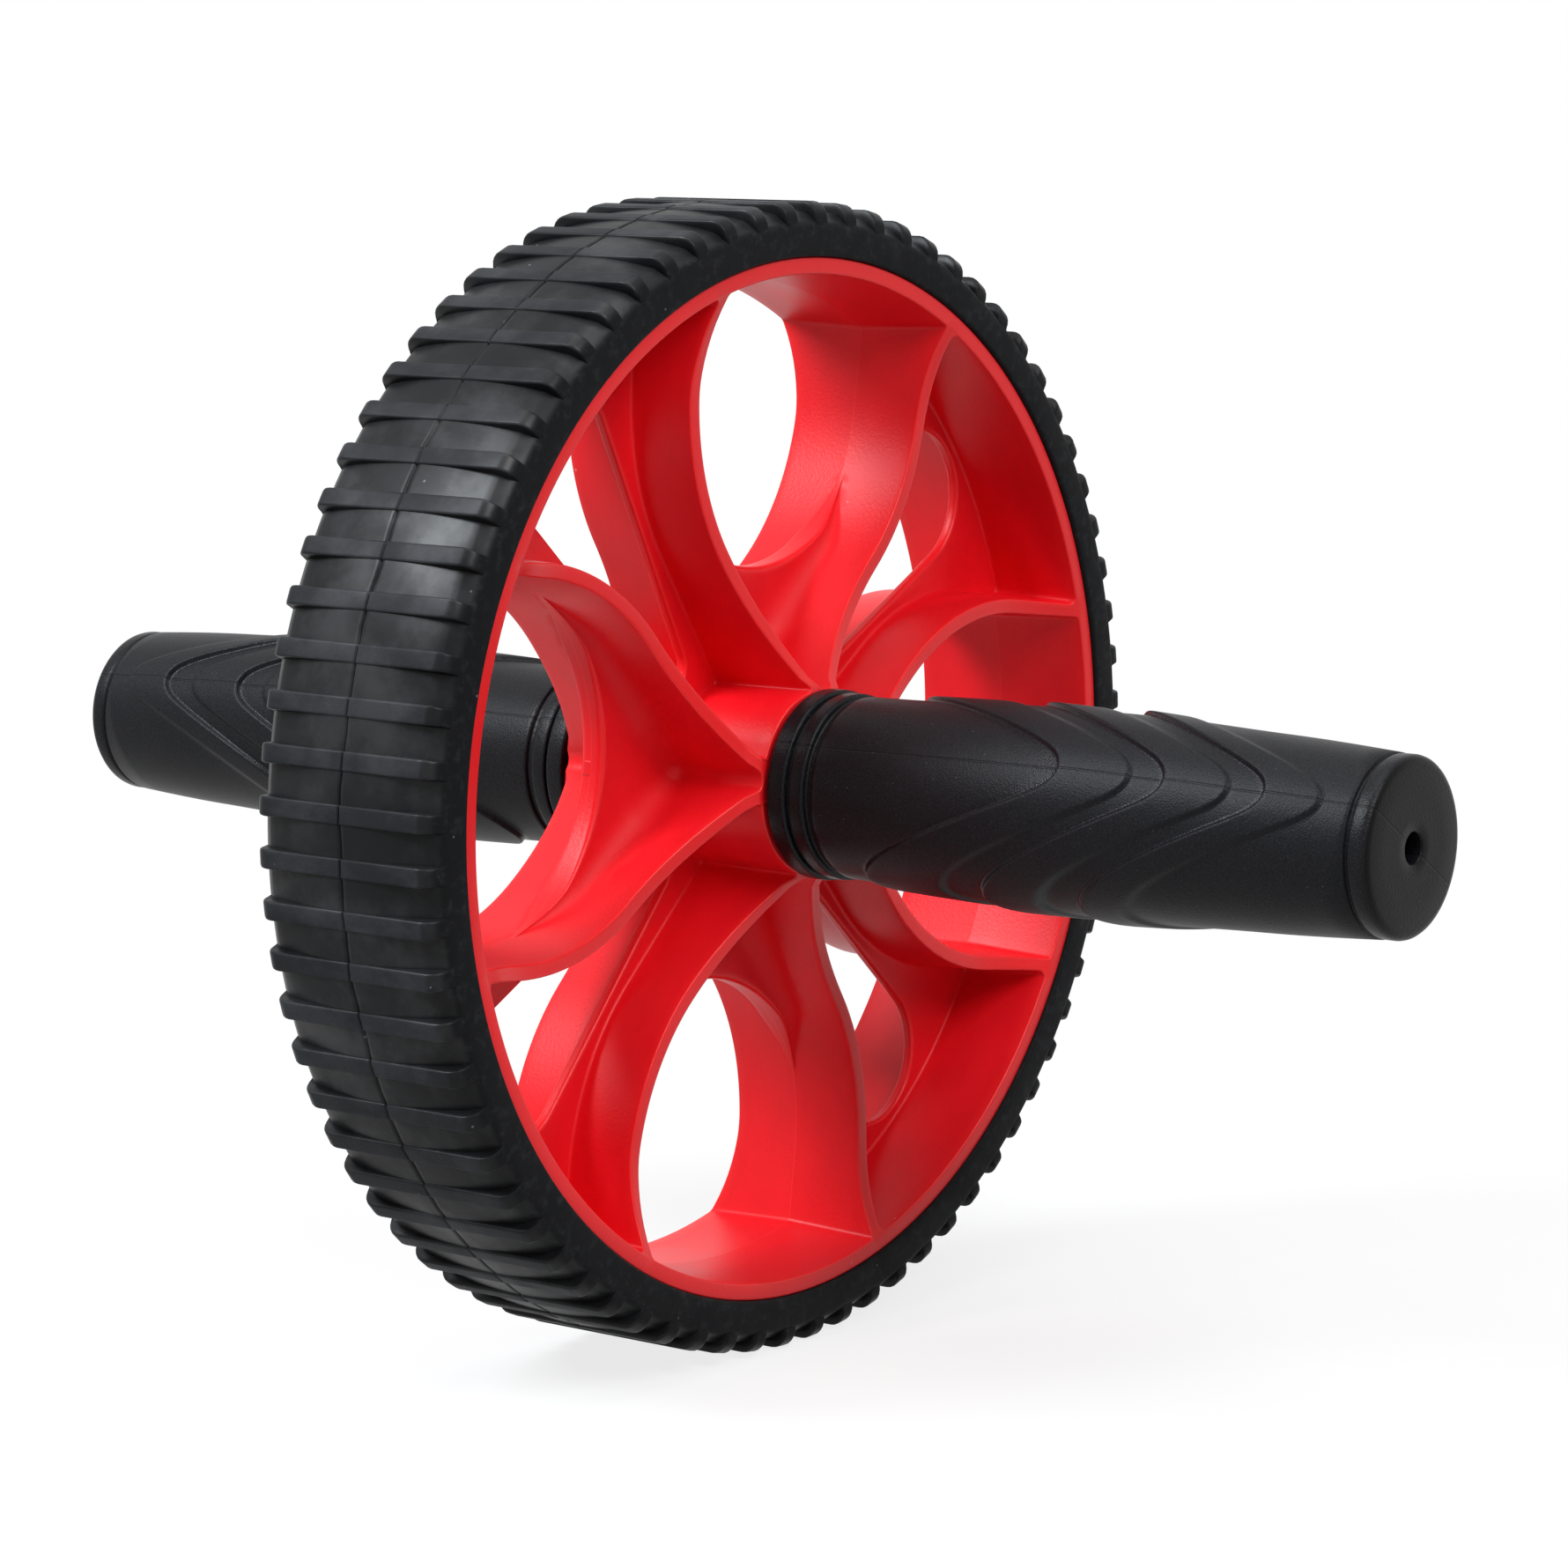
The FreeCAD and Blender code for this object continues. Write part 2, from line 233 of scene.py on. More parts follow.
class Net:
    """Node tree that is written as expressions. Its owner is a material or a world, if it has one."""

    def __init__(self, tree, owner=None):
        self.tree = tree
        self.owner = owner
        tree.nodes.clear()

    def node(self, kind, sockets=None, settings=None):
        """A node of any kind: its settings first, then the values or links of its sockets."""
        made = self.tree.nodes.new(kind)
        for key, value in (settings or {}).items():
            setattr(made, key, value)
        for key, value in (sockets or {}).items():
            socket = made.inputs[key]
            if isinstance(value, Wire):
                self.tree.links.new(value.socket, socket)
            else:
                socket.default_value = value
        return made

    def pick(self, kind, sockets=None, settings=None, output=0):
        """One output of a new node."""
        return Wire(self, self.node(kind, sockets, settings).outputs[output])

    def math(self, operation, *values):
        return self.pick("ShaderNodeMath", dict(enumerate(values)), {"operation": operation})

    def mix(self, factor, low, high):
        """Colour between two colours."""
        sockets = {0: factor, 6: as_rgba(low), 7: as_rgba(high)}
        return self.pick("ShaderNodeMix", sockets, {"data_type": "RGBA"}, output=2)

    def place(self):
        return self.pick("ShaderNodeTexCoord", output="Object")

    def axes(self, place):
        split = self.node("ShaderNodeSeparateXYZ", {0: place})
        return [Wire(self, socket) for socket in split.outputs]

    def scaled(self, place, scale):
        return self.pick("ShaderNodeMapping", {"Vector": place, "Scale": scale})

    def noise(self, place, scale, detail=3.0, roughness=0.55):
        sockets = {"Vector": place, "Scale": scale, "Detail": detail, "Roughness": roughness}
        return self.pick("ShaderNodeTexNoise", sockets)

    def cells(self, place, scale, output="Distance"):
        return self.pick("ShaderNodeTexVoronoi", {"Vector": place, "Scale": scale}, output=output)

    def flecks(self, place, scale, edge, rare):
        """Round specks with a soft edge, in the few cells of a pattern that a step picks."""
        chosen = self.axes(self.cells(place, scale, "Color"))[0].step(*rare)
        return self.cells(place, scale).step(*edge) * chosen

    def attribute(self, name):
        return self.pick("ShaderNodeAttribute", None, {"attribute_name": name}, output="Fac")

    def bump(self, height, strength, distance, below=None):
        sockets = {"Height": height, "Strength": strength, "Distance": distance}
        if below:
            sockets["Normal"] = below
        return self.pick("ShaderNodeBump", sockets)

    def surface(self, **sockets):
        """The material's main shader, with sockets named by words joined with underscores."""
        named = {key.replace("_", " ").title().replace("Ior", "IOR"): value for key, value in sockets.items()}
        named["Base Color"] = as_rgba(named["Base Color"])
        self.finish(self.pick("ShaderNodeBsdfPrincipled", named))
        return self.owner

    def finish(self, shader):
        self.node("ShaderNodeOutputMaterial", {"Surface": shader})


def node_net(owner):
    """Empty net of a new material or world."""
    owner.use_nodes = True
    return Net(owner.node_tree, owner)


def material_net(name):
    return node_net(bpy.data.materials.new(name))


def as_rgba(value):
    return value if isinstance(value, Wire) else (*value[:3], 1.0)


def shade(tint, factor):
    """A colour made darker or lighter."""
    return tuple(factor * part for part in tint)


PLASTIC_IOR = 1.5


def red_plastic(finish, wheel):
    """Moulded red plastic with flow marks, specks, a parting line, a gate mark on each arch, and a painted
    highlight along its edges, lips and parting line.
    """
    net = material_net("red_plastic")
    place = net.place()
    # Marks above 0 give the strength of the painted highlight, and marks below 0 the matte web
    mark = net.attribute("edge")
    edge = mark.math("MAXIMUM", 0.0)
    matte = (mark * -1.0).math("MAXIMUM", 0.0)
    flow = net.noise(net.scaled(place, (1.0, 2.2, 1.0)), scale=38.0, detail=4.0)
    cloud = net.noise(place, scale=14.0, detail=2.0)
    grain = net.noise(place, scale=1900.0, detail=2.0)
    body = net.mix((flow * 0.7 + cloud * 0.5).step(0.35, 0.85), finish.red_deep, finish.red)
    # Painted highlight: edges, rib tops and lips are painted a lighter red, by their marks
    body = net.mix(edge * 0.55, body, finish.red_edge_highlight)
    # Pale specks at random, stronger along the edges where they add to the painted highlight
    flecks = net.flecks(place, scale=210.0, edge=(0.075, 0.03), rare=(0.955, 0.965))
    body = net.mix(flecks * (0.15 + edge * 0.5), body, finish.fleck)
    x, y, z = net.axes(place)
    # The mould's parting line gets a thin painted highlight in the lighter red
    parting = y.math("ABSOLUTE").step(0.20 * MM, 0.06 * MM)
    body = net.mix(parting * 0.5, body, finish.red_edge_highlight)

    # Gate mark at the middle of each arch, on one half of the mould
    cos = math.cos(wheel.petal_phase)
    sin = math.sin(wheel.petal_phase)
    along = (x * cos + z * sin).math("ABSOLUTE")
    across = (z * cos - x * sin).math("ABSOLUTE")
    aside = along.math("MINIMUM", across)
    from_arch = (along.math("MAXIMUM", across) - wheel.arch_start * MM).math("ABSOLUTE")
    gate = aside.step(1.30 * MM, 1.05 * MM) * from_arch.step(0.9 * MM, 0.6 * MM)
    gate = gate * y.step(2.3 * MM, 2.0 * MM) * y.step(0.0, 0.1 * MM)
    body = net.mix(gate * 0.5, body, finish.red_deep)

    rough = 0.33 + flow * 0.12 - edge * 0.06 + matte * 0.14
    relief = net.bump(grain + flow * 0.8, strength=0.16, distance=0.3 * MM)
    relief = net.bump(gate, strength=0.6, distance=0.3 * MM, below=relief)
    return net.surface(base_color=body, roughness=rough, normal=relief, ior=PLASTIC_IOR,
                       specular_ior_level=0.26, subsurface_weight=0.10, subsurface_scale=4 * MM,
                       subsurface_radius=(1.0, 0.22, 0.12))


def tyre_rubber(finish):
    """Black rubber with bloom and dust, most of it on the lugs' tops, and scuffs on the side walls."""
    net = material_net("tyre_rubber")
    place = net.place()
    x, y, z = net.axes(place)
    radius = (x * x + z * z) ** 0.5
    side_wall = y.math("ABSOLUTE").step(18.1 * MM, 18.9 * MM)
    lug_top = radius.step(99.85 * MM, 99.95 * MM)
    along_axle = net.scaled(place, (1.0, 0.45, 1.0))
    patch = net.noise(place, scale=55.0, detail=5.0, roughness=0.62).step(0.42, 0.70)
    blotch = net.noise(along_axle, scale=160.0, detail=4.0, roughness=0.6).step(0.40, 0.66)
    fine = net.noise(place, scale=1500.0)
    scuff = net.noise(place, scale=480.0, detail=5.0, roughness=0.7).step(0.48, 0.74)
    dust = (patch * 0.35 + blotch * 0.25) * (0.35 + lug_top * 0.65) + lug_top * 0.24
    dust = dust * (1.0 - side_wall * 0.85) + side_wall * (0.06 + scuff * 0.34)
    body = net.mix(dust, finish.tread, finish.dust)
    specks = net.flecks(place, scale=330.0, edge=(0.10, 0.04), rare=(0.93, 0.94))
    body = net.mix(specks * 0.6, body, finish.speck)
    rough = 0.36 + blotch * 0.10 + patch * 0.06 + lug_top * 0.16 + side_wall * 0.12
    relief = net.bump(fine * (0.5 + lug_top) + blotch * 0.5, strength=0.20, distance=0.25 * MM)
    sheen = (1.0 - side_wall) * (1.0 - lug_top * 0.7) * (0.15 + patch * 0.30)
    return net.surface(base_color=body, roughness=rough, normal=relief, ior=PLASTIC_IOR,
                       specular_ior_level=0.04, coat_weight=sheen, coat_roughness=0.34)


def grip_rubber(finish, tip_angle):
    """Soft black rubber with a pebbled grain, painted shade on the end face, painted glints and a seam along
    the waves' tips.
    """
    net = material_net("grip_rubber")
    place = net.place()
    x, y, z = net.axes(place)
    gloss = net.attribute("gloss")
    grain = net.noise(place, scale=3600.0, detail=2.0, roughness=0.6)
    pebble = net.cells(place, scale=2900.0)
    cloud = net.noise(place, scale=45.0)
    across = x * -math.sin(tip_angle) + z * math.cos(tip_angle)
    seam = across.math("ABSOLUTE").step(0.22 * MM, 0.08 * MM)
    # Painted shade: the end face is painted near black
    end_face_shade = y.math("ABSOLUTE").step(138.8 * MM, 139.3 * MM)
    body = net.mix(grain.step(0.35, 0.75) * 0.8, shade(finish.grip, 0.6), shade(finish.grip, 2.6))
    body = net.mix(end_face_shade * 0.9, body, (0.0, 0.0, 0.0))
    # Painted glints: light specks that stand for the sparkle of the grain
    painted_glints = net.flecks(place, scale=900.0, edge=(0.12, 0.05), rare=(0.90, 0.92))
    body = net.mix(painted_glints * 0.5, body, finish.grip_glint)
    rough = 0.37 + cloud * 0.10 - gloss * 0.18
    relief = net.bump(grain + pebble * 0.8, strength=0.34, distance=0.12 * MM)
    relief = net.bump(1.0 - seam, strength=0.5, distance=0.3 * MM, below=relief)
    return net.surface(base_color=body, roughness=rough, normal=relief, ior=PLASTIC_IOR,
                       specular_ior_level=0.11)


def turned_steel(finish):
    """Steel with fine rings from turning."""
    net = material_net("turned_steel")
    rings = net.noise(net.scaled(net.place(), (1.0, 60.0, 1.0)), scale=40.0, detail=2.0)
    body = net.mix(rings, shade(finish.steel, 0.8), finish.steel)
    relief = net.bump(rings, strength=0.15, distance=0.1 * MM)
    return net.surface(base_color=body, metallic=1.0, roughness=0.24 + rings * 0.16, normal=relief)


def inner_plastic(name, colours, scales, rough, strength, **more):
    """Plain plastic of the pieces inside, with soft clouds and a fine grain."""
    net = material_net(name)
    place = net.place()
    cloud, grain = [net.noise(place, scale) for scale in scales]
    relief = net.bump(grain, strength, distance=0.2 * MM)
    return net.surface(base_color=net.mix(cloud, *colours), roughness=rough[0] + cloud * rough[1],
                       normal=relief, **more)


def bush_nylon(finish):
    return inner_plastic("bush_nylon", (shade(finish.nylon, 0.86), finish.nylon), scales=(90.0, 1600.0),
                         rough=(0.42, 0.10), strength=0.10, subsurface_weight=0.1, subsurface_scale=2 * MM)


def core_plastic(finish):
    return inner_plastic("core_plastic", (finish.core, shade(finish.core, 1.6)), scales=(70.0, 1400.0),
                         rough=(0.40, 0.14), strength=0.15)


# Mesh making, and the marks of the wheel's points: edges and lips get a painted highlight, and the petals'
# web is matte

EDGE = 1.0
RIB_TOP = 0.8
LIP = 0.6
BY_EDGE = 0.5
MATTE = -1.0


class Patches:
    """Grids of points that share their edges, gathered into one closed mesh."""

    def __init__(self):
        self.points = []
        self.marks = []
        self.faces = []
        self.count = 0

    def grid(self, points, marks=None):
        """Adds a grid of rows by columns by three, with a mark of each point for its material."""
        rows, columns = points.shape[:2]
        index = self.count + np.arange(rows * columns).reshape(rows, columns)
        corners = (index[:-1, :-1], index[1:, :-1], index[1:, 1:], index[:-1, 1:])
        self.faces.append(np.stack([c.ravel() for c in corners], axis=1))
        self.points.append(points.reshape(-1, 3))
        self.marks.append(np.zeros(rows * columns) if marks is None else np.asarray(marks).ravel())
        self.count += rows * columns

    def mesh(self, name, mark_name, copies=(np.array,)):
        """One welded mesh of all the copies, with faces outward. A copy is a function of the points."""
        points = np.concatenate(self.points)
        faces = np.concatenate(self.faces)
        marks = np.tile(np.concatenate(self.marks), len(copies))
        all_points = np.concatenate([copy(points) for copy in copies]) * MM
        all_faces = np.concatenate([faces + k * len(points) for k in range(len(copies))])
        shell = bpy.data.meshes.new(name)
        shell.from_pydata(all_points.tolist(), [], all_faces.tolist())
        layer = shell.attributes.new(mark_name, "FLOAT", "POINT")
        layer.data.foreach_set("value", marks.astype(np.float32))
        work = bmesh.new()
        work.from_mesh(shell)
        bmesh.ops.remove_doubles(work, verts=work.verts, dist=WELD)
        bmesh.ops.recalc_face_normals(work, faces=work.faces)
        loose = sum(not edge.is_manifold for edge in work.edges)

        # The mould's parting line at the middle plane is a crease
        for edge in work.edges:
            if all(abs(corner.co.y) < WELD for corner in edge.verts):
                edge.smooth = False
        work.to_mesh(shell)
        work.free()
        if loose:
            raise RuntimeError(f"{name} has {loose} open edges")
        return smooth_shaded(shell)


def smooth_shaded(shell):
    shell.polygons.foreach_set("use_smooth", [True] * len(shell.polygons))
    return shell


def revolved(name, mark_name, count, column_at):
    """Closed mesh of columns round the axle, each a list of distances along it, radii and marks."""
    grid = []
    for angle in between(0.0, 2 * math.pi, count)[:-1]:
        along, radius, mark = np.array(column_at(angle)).T
        grid.append(np.stack([radius * math.cos(angle), along, radius * math.sin(angle), mark], axis=1))
    grid = np.array(grid + grid[:1])
    patches = Patches()
    patches.grid(grid[..., :3], grid[..., 3])
    return patches.mesh(name, mark_name)


def show(shell, material, body, slot, *nodes):
    """Puts a finished mesh in the scene as a piece that rides on a body and stands for CAD nodes."""
    piece = bpy.data.objects.new(shell.name, shell)
    bpy.context.scene.collection.objects.link(piece)
    shell.materials.clear()
    shell.materials.append(material)
    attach(piece, body)
    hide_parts(*nodes)


def between(start, end, count):
    """Count steps from start to end, both included."""
    return np.linspace(start, end, count + 1)


def chain(*runs):
    """Joins runs of points that share their end points."""
    return np.concatenate([runs[0]] + [run[1:] for run in runs[1:]])


def arc(centre, radius, start, end, count):
    return centre + radius * np.exp(1j * between(start, end, count))


# Wheel core


THIRDS = np.array([0.0, 1 / 3, 2 / 3, 1.0])


def eased(share):
    """Smooth step of a share, held between 0 and 1."""
    held = np.clip(share, 0.0, 1.0)
    return held * held * (3 - 2 * held)


class WheelForm:
    """Plan of the wheel in a petal's frame. A plan point is complex: along the petal plus i across."""

    QUARTER = math.pi / 4
    DRAFT_TOP = 24.0

    # Steps of the grids along the walls, up them, and round small edges
    rim_steps = 18
    gap_rim_steps = 16
    corner_steps = 5
    straight_steps = 6
    bend_steps = (10, 14)
    run_steps = 18
    apex_steps = 6
    hub_corner_steps = 5
    hub_steps = 5
    petal_wall_steps = 7
    gap_wall_steps = 8
    edge_steps = 4
    gap_round_steps = 5
    web_steps = 16
    arch_turn = math.radians(19.6)
    arch_column = rim_steps + corner_steps + straight_steps + bend_steps[0]

    # Small shapes of the moulding, in millimetres
    apex_round = 2.5
    hub_blend = 2.4
    hub_rings = (15.3, 12.0)
    hub_chamfer = 0.5
    bore_middle = 10.0
    rim_bevel = 0.35
    seat_levels = ((12.0,), (6.0,), (0.0,))

    # Shares of the room that fillets and lips take up
    valley_room = 1.2
    fillet_growth = 0.25
    gap_fillet_most = 0.55
    slot_lip_most = 0.25

    def __init__(self, size):
        self.size = size
        self.heading = np.exp(1j * size.rib_angle)
        self.bend_centre = size.rib_bend_start + 1j * (size.rib_offset - size.rib_bend)
        bend_end = self.bend_centre + size.rib_bend * 1j * self.heading
        self.rib_foot = bend_end.real - bend_end.imag / math.tan(size.rib_angle)
        self.arch_centre = size.arch_start + size.arch_radius
        self.petal_low, self.petal_high = [self.petal_wall(y) for y in (0.0, self.DRAFT_TOP)]
        self.gap_low, self.gap_high = [self.gap_wall(y) for y in (0.0, self.DRAFT_TOP)]

    def rib_half(self, level):
        return self.size.rib_half - level * math.tan(self.size.rib_draft)

    def rim_inside(self, level):
        return rim_radius - self.size.rim_wall - (rim_half_width - level) * math.tan(self.size.rim_draft)

    def bend(self, offset):
        """A rib's bend at an offset from its middle line, in two runs that meet by the arch's end."""
        first, second = self.bend_steps
        turned = chain(between(0.0, self.arch_turn, first),
                       between(self.arch_turn, self.size.rib_angle, second))
        return self.bend_centre + (self.size.rib_bend + offset) * 1j * np.exp(1j * turned)

    def outer_wall(self, level, side, middle, steps):
        """Wall from an opening's middle at the rim to the rib's bend's end. Side -1 is between petals."""
        half = self.rib_half(level)
        rim = self.rim_inside(level)
        fillet = self.size.rim_corner
        aside = self.size.rib_offset - side * (half + fillet)
        centre = math.sqrt((rim - fillet) ** 2 - aside ** 2) + 1j * aside
        lean = np.angle(centre)
        bend = self.bend(-side * half)
        return chain(arc(0, rim, middle, lean, steps),
                     arc(centre, fillet, lean, side * math.pi / 2, self.corner_steps),
                     between(centre + side * 1j * fillet, bend[0], self.straight_steps), bend)

    def petal_wall(self, level):
        """Half of a petal's opening, from the rim to the valley at the hub."""
        wall = self.outer_wall(level, 1, 0.0, self.rim_steps)
        angle = self.size.rib_angle
        valley = self.rib_foot + (self.rib_half(level) + self.apex_round) / math.sin(angle)
        foot = valley + self.apex_round * 1j * self.heading
        return chain(wall, between(wall[-1], foot, self.run_steps),
                     arc(valley, self.apex_round, math.pi / 2 + angle, math.pi, self.apex_steps))

    def gap_wall(self, level):
        """Half of the opening between two petals, from the rim along the rib's other face to the hub."""
        wall = self.outer_wall(level, -1, self.QUARTER, self.gap_rim_steps)
        foot = self.size.hub_corner
        hub = self.size.hub_radius
        across = (self.rib_half(level) + foot) * 1j * self.heading
        start = (self.rib_foot + across) / self.heading
        along = math.sqrt((hub + foot) ** 2 - start.imag ** 2) - start.real
        corner = self.rib_foot + across + along * self.heading
        facing = np.angle(corner)
        foot_angle = self.size.rib_angle - math.pi / 2
        return chain(wall, between(wall[-1], corner - foot * 1j * self.heading, self.run_steps),
                     arc(corner, foot, foot_angle, facing - math.pi, self.hub_corner_steps),
                     arc(0, hub, facing, self.QUARTER, self.hub_steps))

    def dish(self, radius):
        """Height of the ribs' front edge, which rises to the hub and to the rim."""
        size = self.size
        rim_inner = rim_radius - size.rim_wall
        rises = ((size.dish_hub_run, size.dish_hub_rise, radius - size.hub_radius),
                 (size.dish_rim_run, rim_half_width - size.dish_level, rim_inner - radius))
        level = np.full_like(radius, size.dish_level)
        for run, rise, distance in rises:
            curve = (run ** 2 + rise ** 2) / (2 * rise)
            level += curve - np.sqrt(curve ** 2 - np.clip(run - distance, 0.0, run) ** 2)
        blend = eased((radius - size.hub_radius) / self.hub_blend)
        return hub_half_length + (level - hub_half_length) * blend

    def web_fillets(self, wall):
        """Radius of the fillet between a petal's web and its wall, less where there is little room."""
        to_arch = np.clip(np.abs(wall - self.arch_centre) - self.size.arch_radius, 0.0, None)
        narrowest = self.apex_round * math.cos(self.size.rib_angle)
        room = np.minimum(to_arch, self.valley_room * np.maximum(wall.imag, narrowest))
        room[:self.arch_column + 1] = 0.0
        return np.minimum(self.size.web_fillet, self.size.web_fillet_least + self.fillet_growth * room)

    def thickening(self, points, corner):
        """Share of the web's height at plan points: it grows from the arch's end on the rib."""
        return eased(np.abs(points - corner) / self.size.web_run)

    def outward(self, wall, side, axis):
        """Directions from an opening into the plastic. The wall is mirrored in its axis past both ends."""
        before = axis ** 2 * np.conj(wall[1])
        after = axis ** 2 * np.conj(wall[-2])
        runs = np.diff(np.concatenate(([before], wall, [after])))
        runs = runs / np.abs(runs)
        along = runs[1:] + runs[:-1]
        return side * 1j * along / np.abs(along)


def solid_points(plan, level):
    """Points of a plan at a level along the axle."""
    plan, level = np.broadcast_arrays(plan, level)
    return np.stack([plan.real, level, plan.imag], axis=-1)


DISH_ROUNDS = 4


def wall_columns(form, low, high, outward, foot, steps, lows=None):
    """Columns of a wall from its foot to its rounded front edge, with marks along that edge."""
    rise = (high - low) / form.DRAFT_TOP
    edge = form.size.edge_round
    edge_steps = form.edge_steps

    # A wall leans, so the height of its top is found in a few rounds
    top = form.dish(np.abs(low))
    for _ in range(DISH_ROUNDS):
        top = form.dish(np.abs(low + rise * top))
    levels = foot + (top - edge - foot) * between(0.0, 1.0, steps)[:, None]
    if lows is not None:
        levels = np.concatenate([np.outer(lows, foot), levels])
    angle = between(0.0, math.pi / 2, edge_steps)[1:, None]
    plan_edge = low + rise * (top - edge) + outward * edge * (1 - np.cos(angle))
    level_edge = top - edge + edge * np.sin(angle)
    plan = np.concatenate([low + rise * levels, plan_edge])
    levels = np.concatenate([levels, level_edge])
    marks = np.zeros(plan.shape)
    marks[-edge_steps:] = EDGE
    marks[-edge_steps - 1] = BY_EDGE
    return plan, levels, marks


def distance_to(points, path):
    """Least distance of plan points to a path of straight runs."""
    start = path[:-1]
    run = np.diff(path)
    offset = points[..., None] - start
    share_along = np.clip((offset * np.conj(run)).real / np.abs(run) ** 2, 0.0, 1.0)
    return np.abs(offset - share_along * run).min(axis=-1)


def fillet_rise(distance, radius):
    inside = np.clip(radius - distance, 0.0, radius)
    return radius - np.sqrt(radius ** 2 - inside ** 2)


def arch_point(form, angle, share_up, reach, lip):
    """Points of an arch whose radius grows to a reach at the rib, and by a lip at the centre line."""
    radius = form.size.arch_radius
    radius = radius + (reach - radius) * share_up ** 4 + lip * (1 - share_up ** 2) ** 2
    return form.arch_centre + radius * (1j * np.sin(angle) - np.cos(angle))


def ray_ends(starts, ways, path):
    """First points where rays meet a path of straight runs."""
    ends = []
    for start, way in zip(starts, ways):
        aside = ((path - start) * np.conj(way)).imag
        ahead = ((path - start) * np.conj(way)).real
        crossing = np.nonzero((aside[:-1] * aside[1:] <= 0) & (ahead[:-1] > 0))[0]
        k = crossing[0]
        share_along = aside[k] / (aside[k] - aside[k + 1])
        ends.append(path[k] + (path[k + 1] - path[k]) * share_along)
    return np.array(ends)


ARCH_SAMPLES = 400
VALLEY_SAMPLES = 200
LEAST_DISTANCE = 1e-6


def petal_web(form, patches, wall, lean, inward, fillets, foot):
    """Web of half a petal, from the arch to the valley at the hub, with a rounded lip along the arch."""
    size = form.size
    first = form.arch_column
    edge = wall[first:]
    corner = edge[0]
    valley = edge[-1].real + form.apex_round
    reach = abs(corner - form.arch_centre)
    last = math.pi - np.angle(corner - form.arch_centre)
    shares = np.linspace(1.0, 0.0, ARCH_SAMPLES)
    arch = arch_point(form, last * shares, shares, reach, size.arch_lip)
    path = np.concatenate([arch, np.linspace(arch[-1].real, valley, VALLEY_SAMPLES)[1:]])
    ends = np.full(len(edge), valley, dtype=complex)
    ends[0] = corner
    straight = slice(1, len(edge) - form.apex_steps - 1)
    ends[straight] = ray_ends(edge[straight], inward[first:][straight], path)
    middle = int(np.abs(ends - arch[-1]).argmin())
    ends[middle] = arch[-1].real
    ends[middle + 1:] = ends[middle + 1:].real

    # Floor of the web, with one fillet that blends those of both walls
    spread = 1 - np.cos(between(0.0, math.pi / 2, form.web_steps))
    floor = edge[:, None] + (ends - edge)[:, None] * spread
    near = np.maximum(distance_to(floor, wall), LEAST_DISTANCE)
    far = np.maximum(distance_to(floor, np.conj(wall)), LEAST_DISTANCE)
    joint = (near ** -3 + far ** -3) ** (-1 / 3)
    base = size.web_end + (size.web_half - size.web_end) * form.thickening(floor, corner)
    floor_level = base + fillet_rise(joint, fillets[first:, None])
    floor_level[:, 0] = foot[first:]
    floor_level[0] = floor_level[0, 0]
    floor_level[-form.apex_steps - 1:, -1] = floor_level[-1, -1]
    patches.grid(solid_points(floor, floor_level), np.full(floor.shape, MATTE))

    # Lip along the arch, and the arch's own face down to the middle plane
    top = ends[:middle + 1]
    top_level = floor_level[:middle + 1, -1]
    angle = math.pi - np.angle(top - form.arch_centre)
    share_up = angle / angle[0]
    brink = arch_point(form, angle, share_up, reach, 0.0)
    brink[0] = corner
    brink[-1] = brink[-1].real
    lip = np.abs(brink - top)
    bend = between(0.0, math.pi / 2, form.edge_steps)[:, None]
    lip_plan = top + (brink - top) * np.sin(bend)
    lip_level = top_level - lip * (1 - np.cos(bend))
    marks = np.zeros(lip_plan.shape)
    marks[1:-1] = LIP
    patches.grid(solid_points(lip_plan, lip_level), marks)
    face_level = lip_level[-1] * THIRDS[::-1][:, None]
    face_plan = brink + lean[first] * (face_level - lip_level[-1]) * share_up ** 4
    patches.grid(solid_points(face_plan, face_level))


def slot_edge(form, samples=600):
    """Half of the tapered slot's edge, from its wide end to its narrow end, in the petal's frame."""
    size = form.size
    lean = math.acos((size.slot_outer_radius - size.slot_inner_radius) / (size.slot_outer - size.slot_inner))
    big = arc(size.slot_outer, size.slot_outer_radius, 0.0, lean - math.pi, samples // 3)
    small = arc(size.slot_inner, size.slot_inner_radius, lean - math.pi, -math.pi, samples // 6)
    side = between(big[-1], small[0], samples // 3)[1:-1]
    return np.concatenate([big, side, small]) * np.exp(1j * form.QUARTER)


MATE_LEVEL = 1.0
EVENING_ROUNDS = 30


